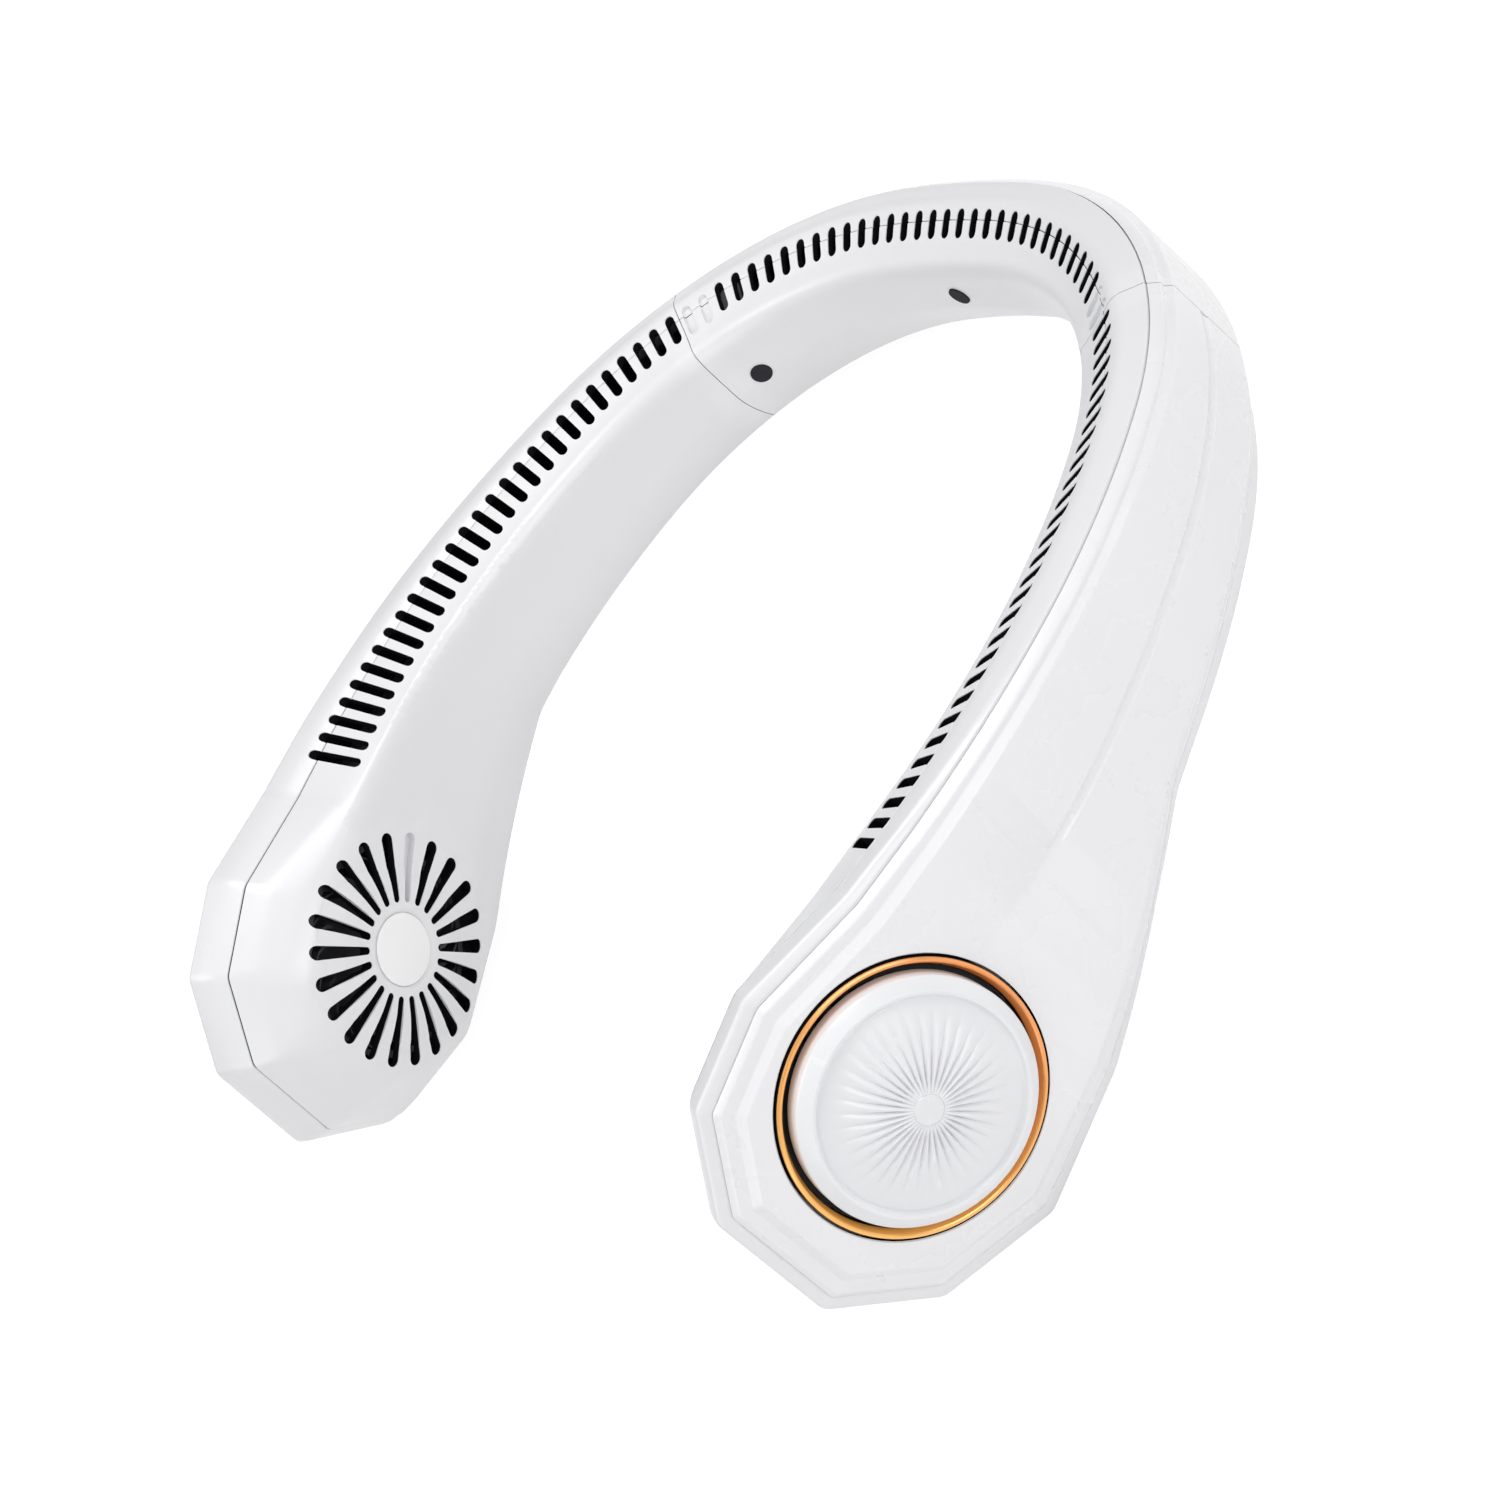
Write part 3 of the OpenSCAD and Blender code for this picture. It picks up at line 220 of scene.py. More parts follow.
def low_height(s):
    if s < FLARE_FROM:
        return ARM_BOTTOM - ARM_DROP * (s / FLARE_FROM) ** 2
    share = clamp((s - FLARE_FROM) / (FLARE_TO - FLARE_FROM))
    return mix(ARM_BOTTOM - ARM_DROP - FLARE_DROP, HEAD_LOW[0][1], share)


def trim(s, low):
    ins, outs = (TRIM_IN_LOW, TRIM_OUT_LOW) if low else (TRIM_IN_ARM, TRIM_OUT_ARM)
    t = head_share(s)
    return np.array([(mix(d + setback(s, low), d_head, t), mix(o, o_head, t))
                     for d, o, d_head, o_head in zip(ins, outs, TRIM_IN_HEAD, TRIM_OUT_HEAD)])


def side(s, low):
    g = growth(s)
    rows = []
    for k in range(6):
        d = SIDE_IN_LOW[k] + SIDE_DEEPENING_LOW[k] * g if low else SIDE_IN_ARM[k] + SIDE_DEEPENING[k] * g
        d += 0 if k else setback(s, low)
        o = SIDE_OUT_LOW[k] - SIDE_GROWTH_LOW[k] * g if low else SIDE_OUT_BACK[k] - SIDE_GROWTH[k] * g
        t = head_share(s) if k < 3 else neck_share(s)
        rows.append((mix(d, SIDE_IN_HEAD[k], t), mix(o, SIDE_OUT_HEAD[k], t)))
    return np.array(rows)


# Directions (in, out) in which the wall's thickness moves each line

SIDE_SKIN = np.array([(1, 0), (1, 0), (1, 0), (0.95, 0.45), (0.45, 1), (0, 1)])
TRIM_SKIN = np.array([(1, 0), (0.75, -0.75), (0.4, -1), (0.4, -1)])


def groove(s):
    return mix(GROOVE_ARM, GROOVE_HEAD, head_share(s))


def inner_lines(s, low, depth):
    p = side(s, low) + depth * SIDE_SKIN
    return [p[2] - (0, groove(s) / 2), p[3], p[4], p[5]]


def outer_lines(s, low, depth):
    p = side(s, low) + depth * SIDE_SKIN
    w = trim(s, low)[0] + depth * np.array((1, -1))
    edge = np.array((p[0][0], w[1])) if depth > 0 else p[0]
    return [p[2] + (0, groove(s) / 2), p[1], edge, w]


def cover_lines(s, low, depth):
    p = trim(s, low) + depth * TRIM_SKIN
    return [p[0] + COVER_LIP, p[1], p[2] - COVER_VALLEY, p[3] - COVER_SINK]


# Outlines

def spread(a, b, n):
    return [mix(a, b, i / n) for i in range(n)]


ARM_FROM, BACK_TO = JOINT_ALONG + SEAM_GAP / 2, JOINT_ALONG - SEAM_GAP / 2
arm_alongs = spread(ARM_FROM, FLARE_FROM, ceil((FLARE_FROM - ARM_FROM) / STEP))
FLARE_AT = len(arm_alongs)
arm_alongs += spread(FLARE_FROM, FLARE_TO, floor((FLARE_TO - FLARE_FROM) / STEP))
HEAD_AT = len(arm_alongs)
arm_tops = [(s, top_height(s)) for s in arm_alongs] + [(HEAD_ALONG + x, y) for x, y in HEAD_TOP]
arm_lows = [(s, low_height(s)) for s in arm_alongs] + [(HEAD_ALONG + x, y) for x, y in HEAD_LOW]
back_steps = 2 * ceil(JOINT_ALONG / STEP)
back_alongs = [mix(-BACK_TO, BACK_TO, i / back_steps) for i in range(back_steps + 1)]
back_tops = [(s, ARM_TOP) for s in back_alongs]
back_lows = [(s, low_height(abs(s))) for s in back_alongs]


def miters(line, level):
    """How far each corner of an outline moves in its plane when its edges move in by 1."""
    out = []
    n = len(line)
    for i in range(n):
        if level or i in (0, n - 1):
            out.append(np.array((0, -1.0 if i < n / 2 else 1.0)))
            continue
        a, b, c = np.array(line[i - 1]), np.array(line[i]), np.array(line[i + 1])
        d1, d2 = (b - a) / np.linalg.norm(b - a), (c - b) / np.linalg.norm(c - b)
        n1, n2 = np.array((d1[1], -d1[0])), np.array((d2[1], -d2[0]))
        out.append((n1 + n2) / (1 + n1 @ n2))
    return out


# The largest share of an edge that the round at its end may take

ROUND_LIMIT = 0.45


def round_path(points, trims, steps, closed=False):
    """Samples a path of (n, ..., 3) points, each corner turned into a short curve."""
    n = len(points)
    rows = []
    for i in range(n):
        p = points[i]
        if not closed and i in (0, n - 1):
            rows.append(p)
            continue
        a, b = points[i - 1] - p, points[(i + 1) % n] - p
        la = np.linalg.norm(a, axis=-1, keepdims=True) + TINY
        lb = np.linalg.norm(b, axis=-1, keepdims=True) + TINY
        r = trims[i]
        pa = p + a * np.minimum(ROUND_LIMIT, r / la)
        pb = p + b * np.minimum(ROUND_LIMIT, r / lb)
        for k in range(steps + 1):
            t = k / steps
            rows.append((1 - t) ** 2 * pa + 2 * t * (1 - t) * p + t * t * pb)
    return rows


# The trim of every corner of a shell's inner skin

INNER_ROUND = 0.15


def skin_lines(tops, lows, lines, depth, turns):
    """The lines of one skin round the outline, (station, line, 3), with their corners
    rounded; turns(j, k) is the trim of line j at outline corner k."""
    level = tops[0][1] == tops[-1][1]  # the back, whose two edges are rounded by themselves
    line = list(tops) + list(reversed(lows))
    n, m = len(tops), miters(line, level)
    grid = np.array([[(s + m[k][0] * d, h + m[k][1] * d, o) for d, o in lines(s, k >= n, depth)]
                     for k, (s, h) in enumerate(line)])
    chains = []
    for j in range(grid.shape[1]):
        trims = [turns(j, k) for k in range(2 * n)]
        if level:
            rows = round_path(grid[:n, j], trims[:n], CORNER_STEPS)
            rows += round_path(grid[n:, j], trims[n:], CORNER_STEPS)
        else:
            rows = round_path(grid[:, j], trims, CORNER_STEPS)
        chains.append(np.array(rows))
    return np.stack(chains, 1)


def sections(tops, lows, lines, wall, turns, rounds, cross):
    """The closed cross-sections of a shell, (station, point, 3): rounds(j, f) is the trim
    of line j near outline corner f, and cross the steps of each corner."""
    skins = [skin_lines(tops, lows, lines, depth, turns) for depth in (0.0, wall)]
    half, count = skins[0].shape[0] // 2, skins[0].shape[1]
    outer, inner = [np.concatenate([f[:half], f[::-1][:half][:, ::-1]], 1) for f in skins]
    loop = np.concatenate([outer, inner[:, ::-1]], 1).transpose(1, 0, 2)
    corners = [0] + [(CORNER_STEPS + 1) * k + CORNER_STEPS // 2 + 1 for k in range(len(tops) - 1)]
    stations = np.interp(np.arange(half), corners, range(len(tops)))
    radii = [np.array([rounds(j, f) for f in stations])[:, None] for j in range(count)]
    trims = radii + radii[::-1] + [np.full((half, 1), INNER_ROUND)] * (2 * count)
    trims[-1] = trims[2 * count] = radii[0]
    return np.array(round_path(loop, trims, cross, closed=True)).transpose(1, 0, 2)


def filled(a, b, mid, fill):
    """Both skins with the lines that fill puts across the broad face, between its edges."""
    mids = fill(a[:, mid - 1], a[:, mid])
    span = np.linalg.norm(a[:, mid] - a[:, mid - 1], axis=-1)[:, None]
    share = np.linalg.norm(mids - a[:, mid - 1][:, None], axis=-1) / span
    backs = b[:, mid][:, None] * (1 - share[..., None]) + b[:, mid - 1][:, None] * share[..., None]
    return (np.concatenate([a[:, :mid], mids, a[:, mid:]], 1),
            np.concatenate([b[:, :mid], backs[:, ::-1], b[:, mid:]], 1))


def tip_faces(e, count, mid):
    """The faces that close a shell's tip, the outer skin's and then the inner one's, and
    the rim between them, with their kinds."""
    polys, kinds = [], []
    for base, kind in ((e, 0), (e + count, 1)):
        for j in range(mid - 2):
            polys.append((base + j, base + j + 1, base + count - 2 - j, base + count - 1 - j))
            kinds.append(kind)
        polys.append(range(base + mid - 2, base + count - mid + 2))
        kinds.append(kind)
    return polys + [(e, e + count - 1, e + count, e + 2 * count - 1)], kinds + [0]


def shell_mesh(name, ring, tip, fill=None):
    """A closed shell through its cross-sections, whose first half is the outer skin and the second the inner
    one; kind 1 marks the inner skin and the walls, which take the near black of painted shade."""
    half, count = ring.shape[0], ring.shape[1] // 2
    mid, a, b = count // 2, ring[:, :count], ring[:, count:]
    if fill:
        a, b = filled(a, b, mid, fill)
        count = a.shape[1]
    ring = np.concatenate([a, b], 1)
    size = 2 * count
    polys, kinds = [], []
    for i in range(half - 1):
        for j in range(size):
            k = (j + 1) % size
            polys.append((i * size + j, i * size + k, (i + 1) * size + k, (i + 1) * size + j))
            kinds.append(0 if j < count - 1 else 1)
    last = (half - 1) * size
    for e in ([0] if tip else [0, last]):
        polys += [(e + j, e + size - 1 - j, e + size - 2 - j, e + j + 1) for j in range(count - 1)]
        kinds += [0] * (count - 1)
    if tip:
        faces, marks = tip_faces(last, count, mid)
        polys += faces
        kinds += marks
    return make_mesh(name, place(ring).reshape(-1, 3), polys, kinds)


def make_mesh(name, points, polys, kinds=None):
    mesh = bpy.data.meshes.new(name)
    mesh.from_pydata([tuple(p) for p in points], [], [tuple(p) for p in polys])
    if kinds is not None:
        mesh.polygons.foreach_set("material_index", kinds)
    bm = bmesh.new()
    bm.from_mesh(mesh)
    bmesh.ops.remove_doubles(bm, verts=bm.verts, dist=WELD)
    bmesh.ops.recalc_face_normals(bm, faces=bm.faces)
    bm.to_mesh(mesh)
    bm.free()
    mesh.update()
    return mesh


# Edges that bend more than this, in degrees, stay sharp

SHARP = 28


def smooth(mesh, angle=SHARP):
    mesh.polygons.foreach_set("use_smooth", [True] * len(mesh.polygons))
    mesh.set_sharp_from_angle(angle=radians(angle))


# Cutting, with the shading of the uncut faces kept

class Source:
    """A mesh whose corner normals are handed on to the faces that a cut leaves of it."""

    def __init__(self, mesh, way=1):
        mesh.calc_loop_triangles()
        self.way = way
        self.co = [v.co.copy() for v in mesh.vertices]
        self.tris = [tuple(t.vertices) for t in mesh.loop_triangles]
        normals = mesh.corner_normals
        self.normals = [[normals[i].vector.copy() for i in t.loops] for t in mesh.loop_triangles]
        self.kinds = [mesh.polygons[t.polygon_index].material_index for t in mesh.loop_triangles]
        self.tree = BVHTree.FromPolygons(self.co, self.tris)

    def at(self, index, p):
        """The normal of a triangle at a place on it."""
        a, b, c = (self.co[i] for i in self.tris[index])
        ab, ac, ap = b - a, c - a, p - a
        d00, d01, d11 = ab.dot(ab), ab.dot(ac), ac.dot(ac)
        d20, d21 = ap.dot(ab), ap.dot(ac)
        det = d00 * d11 - d01 * d01
        if abs(det) < FLAT:
            return self.normals[index][0] * self.way
        v = max(0.0, min(1.0, (d11 * d20 - d01 * d21) / det))
        w = max(0.0, min(1.0 - v, (d00 * d21 - d01 * d20) / det))
        n = self.normals[index]
        return (n[0] * (1 - v - w) + n[1] * v + n[2] * w).normalized() * self.way


def clean(mesh):
    """Takes slivers out of a cut mesh and leaves it in triangles."""
    bm = bmesh.new()
    bm.from_mesh(mesh)
    bmesh.ops.remove_doubles(bm, verts=bm.verts, dist=MERGE)
    for _ in range(2):
        bmesh.ops.dissolve_degenerate(bm, dist=MERGE, edges=bm.edges)
        bmesh.ops.triangulate(bm, faces=bm.faces)
    for _ in range(3):
        fins = [f for f in bm.faces if sum(len(e.link_faces) == 1 for e in f.edges) > 1]
        bmesh.ops.delete(bm, geom=fins, context="FACES")
    bm.to_mesh(mesh)
    bm.free()
    mesh.update()


def booleans(mesh, tools, adds):
    """A new mesh: mesh with the adds joined to it and the tools cut from it."""
    work = bpy.data.objects.new("work", mesh)
    scene.collection.objects.link(work)
    helpers = []
    for t, way in [(t, "UNION") for t in adds] + [(t, "DIFFERENCE") for t in tools]:
        o = bpy.data.objects.new("tool", t)
        scene.collection.objects.link(o)
        helpers.append(o)
        mod = work.modifiers.new("cut", "BOOLEAN")
        mod.operation, mod.object, mod.solver = way, o, "MANIFOLD"
    graph = bpy.context.evaluated_depsgraph_get()
    graph.update()
    out = bpy.data.meshes.new_from_object(work.evaluated_get(graph))
    for o in helpers + [work]:
        bpy.data.objects.remove(o)
    return out


# How well a surface has to face a face's way, and what it costs in metres if it doesn't

SAME_WAY, OTHER_WAY_COST = 0.9, 2e-5


def combine(mesh, tools, adds=()):
    """booleans, then each face takes its kind and its corner normals from the nearest
    surface that it came from, one that looks its way before one that doesn't."""
    sources = [Source(mesh)] + [Source(t, -1) for t in tools] + [Source(t) for t in adds]
    out = booleans(mesh, tools, adds)
    clean(out)
    out.polygons.foreach_set("use_smooth", [True] * len(out.polygons))
    normals = [None] * len(out.loops)
    kinds = []
    for poly in out.polygons:
        centre, best = poly.center, None
        for src in sources:
            hit = src.tree.find_nearest(centre)
            if hit[0] is None:
                continue
            agree = hit[1].dot(poly.normal) * src.way
            score = hit[3] + (0 if agree > SAME_WAY else OTHER_WAY_COST)
            if best is None or score < best[0]:
                best = (score, src, hit[2])
        src, index = best[1], best[2]
        kinds.append(src.kinds[index])
        for loop in poly.loop_indices:
            p = out.vertices[out.loops[loop].vertex_index].co
            normals[loop] = tuple(src.at(index, p))
    out.polygons.foreach_set("material_index", kinds)
    out.normals_split_custom_set(normals)
    out.update()
    return out


# Simple solids, as lists of points, faces and kinds

def prism(outline, low, high, matrix):
    """A closed prism of a flat outline in millimetres, between two levels along z."""
    return rings([[matrix @ Vector((x * MM, y * MM, z * MM)) for x, y in outline] for z in (low, high)], [0])


def rings(levels, kinds):
    """A closed solid through rings of equal numbers of points, with the kind of the
    walls between each two of them; its ends have those of the walls beside them."""
    n, last = len(levels[0]), len(levels) - 1
    polys, marks = [tuple(range(n))[::-1]], [kinds[0]]
    for k in range(last):
        a, b = k * n, (k + 1) * n
        polys += [(a + i, a + (i + 1) % n, b + (i + 1) % n, b + i) for i in range(n)]
        marks += [kinds[k]] * n
    polys.append(tuple(range(last * n, (last + 1) * n)))
    marks.append(kinds[-1])
    return [p for level in levels for p in level], polys, marks


def joined(name, parts):
    points, polys, kinds = [], [], []
    for pts, faces, marks in parts:
        base = len(points)
        points += [tuple(p) for p in pts]
        polys += [tuple(base + i for i in f) for f in faces]
        kinds += marks
    mesh = make_mesh(name, points, polys, kinds)
    smooth(mesh)
    return mesh


def skin_of(*parts):
    """What rays find of the surfaces of some meshes."""
    points, polys = [], []
    for mesh in parts:
        base = len(points)
        points += [v.co.copy() for v in mesh.vertices]
        polys += [[base + i for i in p.vertices] for p in mesh.polygons]
    return BVHTree.FromPolygons(points, polys)


def through(skin, start, end):
    """A slot's cutter from a ring of points over a skin to one under it: its walls are light down to a lip
    and painted dark below it, as shade deep inside the slot. A point whose ray misses takes the usual depth."""
    way = (end[0] - start[0]).normalized()
    depths = [skin.ray_cast(p, way)[3] for p in start]
    usual = sorted(d for d in depths if d is not None)[len(start) // 4]
    depths = [usual if d is None or d > usual + 2 * WALL * MM else d for d in depths]
    return rings([end, [p + way * (d + LIP * MM) for p, d in zip(start, depths)], start], [1, 0])


def slot_outline(x1, r1, x2, r2, turn=0.0):
    """A slot along x with round ends of two radii, turned about the origin."""
    pts = [(x1 - r1 * sin(t), r1 * cos(t)) for t in np.linspace(0, pi, SLOT_END_STEPS + 1)]
    pts += [(x2 + r2 * sin(t), -r2 * cos(t)) for t in np.linspace(0, pi, SLOT_END_STEPS + 1)]
    return [(x * cos(turn) - y * sin(turn), x * sin(turn) + y * cos(turn)) for x, y in pts]


def cylinder(r, low, high, matrix, steps=HOLE_STEPS):
    circle = [(r * cos(t), r * sin(t)) for t in np.arange(steps) * 2 * pi / steps]
    return prism(circle, low, high, matrix)


def revolve(name, profile, matrix, steps=TURN_STEPS, angle=SHARP, dark=()):
    """Turns a closed profile of (radius, level), in millimetres, about z; the walls from the points numbered
    in dark to the next ones are of the second material, which is painted shade."""
    pts, polys, kinds, n = [], [], [], len(profile)
    for i in range(steps):
        t = 2 * pi * i / steps
        pts += [matrix @ Vector((r * cos(t) * MM, r * sin(t) * MM, z * MM)) for r, z in profile]
    for i in range(steps):
        for j in range(n):
            k = (j + 1) % n
            a, b = i * n, (i + 1) % steps * n
            polys.append((a + j, b + j, b + k, a + k))
            kinds.append(1 if j in dark else 0)
    mesh = make_mesh(name, pts, polys, kinds)
    bm = bmesh.new()
    bm.from_mesh(mesh)
    bmesh.ops.dissolve_degenerate(bm, dist=SHRINK, edges=bm.edges)
    bmesh.ops.recalc_face_normals(bm, faces=bm.faces)
    bm.to_mesh(mesh)
    bm.free()
    smooth(mesh, angle)
    return mesh


def mirrored(name, mesh):
    """The left piece of a right one, with its normals."""
    out = mesh.copy()
    out.name = name
    normals = [tuple(n.vector) for n in mesh.corner_normals]
    for v in out.vertices:
        v.co.x = -v.co.x
    pairs = []
    for poly in out.polygons:
        loops = list(poly.loop_indices)
        pairs.append((loops[0], [normals[i] for i in [loops[0]] + loops[:0:-1]]))
    out.flip_normals()
    fixed = [None] * len(out.loops)
    for start, ns in pairs:
        for k, (x, y, z) in enumerate(ns):
            fixed[start + k] = (-x, y, z)
    out.normals_split_custom_set(fixed)
    out.update()
    return out


# How far corners of the mouldings are rounded: at the head's outline corners for each of a
# shell's lines (the last value for the rest of them), and across a section for each line as
# (on the arm, at the head)

SOFT_TURN, FLARE_TURN = 4.0, 1.6
INNER_TURNS, OUTER_TURNS, COVER_TURNS = (0.9, 1.4, 5.0), (0.9, 0.9, 0.9), (0.5, 0.6, 0.6)
INNER_ROUNDS = [(0.22, 0.22), (2.6, 1.6), (4.5, 6.0), (7.0, 5.0)]
OUTER_ROUNDS = [(0.22, 0.22), (2.4, 2.0), (0.7, 0.8), (0.12, 0.12)]
COVER_ROUNDS = [(0.16, 0.16), (0.25, 0.25), (0.12, 0.12), (0.3, 0.3)]


def arm_turns(at_head):
    def turns(j, k):
        k = min(k, 2 * len(arm_tops) - 1 - k)
        if k == FLARE_AT:
            return FLARE_TURN
        return SOFT_TURN if k < HEAD_AT else at_head[min(j, 2)]
    return turns


def back_turns(j, k):
    return SOFT_TURN


def rounds_of(pairs):
    """The trims across a section at outline corner f. Those of the back go over from the
    arm's to the head's by the same count of corners, so its two halves differ a little."""
    def rounds(j, f):
        return mix(*pairs[j], clamp((f - FLARE_AT) / (HEAD_AT - FLARE_AT)))
    return rounds


# The crease along the cover's face: its heights, the profile across it as (height, share
# of the depth), and where it starts and ends

CREASE = [(64, 15.2), (79, 13.9), (95.5, 12.1), (113, 11.0), (126.5, 9.8), (143, 8.3), (159.5, 7.3),
          (176, 6.6)]
CREASE_STEPS = [(0.35, 0.0), (-0.1, -1), (-1.25, -0.7), (-1.6, 0.0)]
CREASE_DEPTH = 0.34
CREASE_FROM, CREASE_RISE, CREASE_AT_SEAM = 60, 12, 0.4
CREASE_TO, CREASE_FALL = 170, 25


def face_fill(top, low):
    """Lines across the cover's face: two shallow creases that fade towards the head."""
    rows = []
    for t, b in zip(top, low):
        s = t[0]
        middle = np.interp(s, *zip(*CREASE))
        start = clamp((s - CREASE_FROM) / CREASE_RISE + CREASE_AT_SEAM)
        step = CREASE_DEPTH * (clamp((CREASE_TO - s) / CREASE_FALL) * start)
        row = []
        for height, share in CREASE_STEPS:
            p = t + (b - t) * clamp((t[1] - middle - height) / (t[1] - b[1]))
            p[2] += share * step
            row.append(p)
        rows.append(row)
    return np.array(rows)


def uncut(name, outline, lines, wall, pairs, steps, at_head=None, fill=None):
    """A moulding before its cuts: an arm's where at_head is given, else the back's."""
    turns = arm_turns(at_head) if at_head else back_turns
    ring = sections(*outline, lines, wall, turns, rounds_of(pairs), steps)
    mesh = shell_mesh(name, ring, bool(at_head), fill)
    smooth(mesh)
    return mesh


# Vents

def vent(s, depth, skin=None):
    """The cutter of one vent, a slot with round ends across the upper edge."""
    rows = side(abs(s), False)
    share = (VENT_OUT - rows[1][1]) / (rows[2][1] - rows[1][1])
    ends = [(mix(rows[1][0], rows[2][0], share), VENT_OUT - VENT_W / 2),
            (rows[3][0], rows[3][1] + VENT_W / 2)]
    top = top_height(abs(s))
    feet = [plain(s, top - d - depth, o) for d, o in ends]
    way = (feet[1] - feet[0])[:2]
    way /= np.linalg.norm(way)
    across = np.array([-way[1], way[0]])
    low, high = [], []
    for e, foot, (d, o) in zip((-1, 1), feet, ends):
        for t in np.linspace(0, pi, VENT_END_STEPS + 1):
            xy = foot[:2] + VENT_W / 2 * e * (way * sin(t) - across * cos(t))
            low.append((*xy, foot[2]))
            high.append((*xy, plain(s, top + VENT_OVERRUN, o)[2]))
    low, high = [[Vector(p) for p in posed(np.array(ring))] for ring in (low, high)]
    return through(skin, high, low) if skin else rings([low, high], [0])


def vent_along(k):
    return (k - 0.5) * VENT_PITCH


# Grille, and the dish and the disc's seat in its middle

DISH_BACK = DISH_FACE + DISH_RISE + WALL / 2
DISH_SLOPE = [(DISH_TOP_R - 1, 0.02), (DISH_TOP_R, 0.08), (mix(DISH_TOP_R, DISH_R, 0.3), 0.34),
              (mix(DISH_TOP_R, DISH_R, 0.6), 0.74)]
SEAT_RIM = [(DISC_R + 1.6, -1), (DISC_R + 1.05, -0.05), (DISC_R + 0.15, 0.35), (DISC_R + 0.15, DISC_SEAT)]
head = spot(HEAD_ALONG, 0, 0)


def grille_tools(skin):
    parts = []
    for i in range(GRILLE_SLOTS):
        turn = radians(GRILLE_TURN + i * 360 / GRILLE_SLOTS)
        outline = slot_outline(GRILLE_IN_R + SLOT_IN_W / 2, SLOT_IN_W / 2,
                               GRILLE_OUT_R - SLOT_OUT_W / 2, SLOT_OUT_W / 2, turn)
        if i == BLIND_SLOT:
            parts.append(prism(outline, DISH_FACE - OVERRUN, DISH_BACK, head))
            continue
        start, end = [[head @ Vector((x * MM, y * MM, (DISH_FACE + z) * MM)) for x, y in outline]
                      for z in (-OVERRUN, DISH_RISE + 3 * WALL)]
        parts.append(through(skin, start, end))
    return parts


def behind_face(points):
    """Points of a profile whose levels are given as depths behind the grille's face."""
    return [(r, DISH_FACE + depth) for r, depth in points]


dish_section = [(0, DISH_FACE)] + behind_face(DISH_SLOPE) + [(DISH_R, DISH_BACK), (0, DISH_BACK)]
dish = revolve("dish", dish_section, head)
disc_seat = revolve("disc_seat", behind_face([(0, -1)] + SEAT_RIM + [(0, DISC_SEAT)]), head)


# Holes for the button, the status light and the port: axes of their tilted board and
# centres as in the part, in metres, and sizes and depths (below, above) in millimetres

BOARD_Z, BOARD_Y = (0.992959, -0.0226812, 0.116271), (-0.118462, -0.193721, 0.973878)
BUTTON_AT, PORT_AT = (0.0715393, -0.0200103, 0.0241868), (0.0841491, -0.0169806, 0.0089798)
BUTTON_HOLE_R, BUTTON_CUT = 3.6, (-3, 4)
LIGHT_HOLE_R, LIGHT_CUT = 1.15, (-5, 3)
PORT_HALF, PORT_HOLE_R, PORT_CUT = 2.85, 1.75, (-5, 6)


def frame_at(origin, z, y):
    """The matrix at an origin with a z axis, and its y axis about where y points."""
    z, y = Vector(z).normalized(), Vector(y).normalized()
    x = y.cross(z).normalized()
    return axes(x, z.cross(x), z, origin)


def middle_of(node):
    low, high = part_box(node)
    return (low + high) / 2


button_hole = cylinder(BUTTON_HOLE_R, *BUTTON_CUT, frame_at(BUTTON_AT, BOARD_Z, BOARD_Y))
light_hole = cylinder(LIGHT_HOLE_R, *LIGHT_CUT, frame_at(middle_of("status_light"), BOARD_Z, BOARD_Y))
port_outline = [(y, x) for x, y in slot_outline(-PORT_HALF, PORT_HOLE_R, PORT_HALF, PORT_HOLE_R)]
port_hole = prism(port_outline, *PORT_CUT, frame_at(PORT_AT, BOARD_Y, BOARD_Z))

# Screw holes in the back, on its neck side

PLUG_CUT = (-2, 4)


def screw_spot(s, h):
    """Place of a screw's axis on the neck side, z square into it."""
    rows, down = side(abs(s), False), ARM_TOP - h
    out = float(np.interp(down, rows[:, 0], rows[:, 1]))
    on_slope = down < rows[5][0] - PLUG_R / 2
    tilt = atan((rows[4][1] - rows[5][1]) / (rows[5][0] - rows[4][0])) if on_slope else 0
    m = spot(abs(s), h, out) @ Matrix.Rotation(tilt, 4, "X")
    return m if s >= 0 else Matrix.Diagonal((-1, 1, 1, 1)) @ m


screw_places = [(-SCREW_ALONG, SCREW_HEIGHT), (0, MIDDLE_HEIGHT), (SCREW_ALONG, SCREW_HEIGHT)]
plug_holes = [cylinder(PLUG_R + PLUG_GAP, *PLUG_CUT, screw_spot(*p), PLUG_STEPS) for p in screw_places]


# The mouldings: those of the right arm, which the left arm mirrors, and of the back

WEB_CUT = (-8, 3)
RING_SEAT = [(0, -6), (RING_R, -6), (RING_R, -0.25), (RING_R + 0.25, 0.05), (RING_R + 1.6, 1.2), (0, 1.2)]
arm_outline, back_outline = (arm_tops, arm_lows), (back_tops, back_lows)
meshes = {}


def add_pair(kind, mesh, left=None):
    """Puts a right piece among the meshes, and the mirror image of it or of left."""
    meshes["right_" + kind] = mesh
    meshes["left_" + kind] = mirrored("left_" + kind, left or mesh)


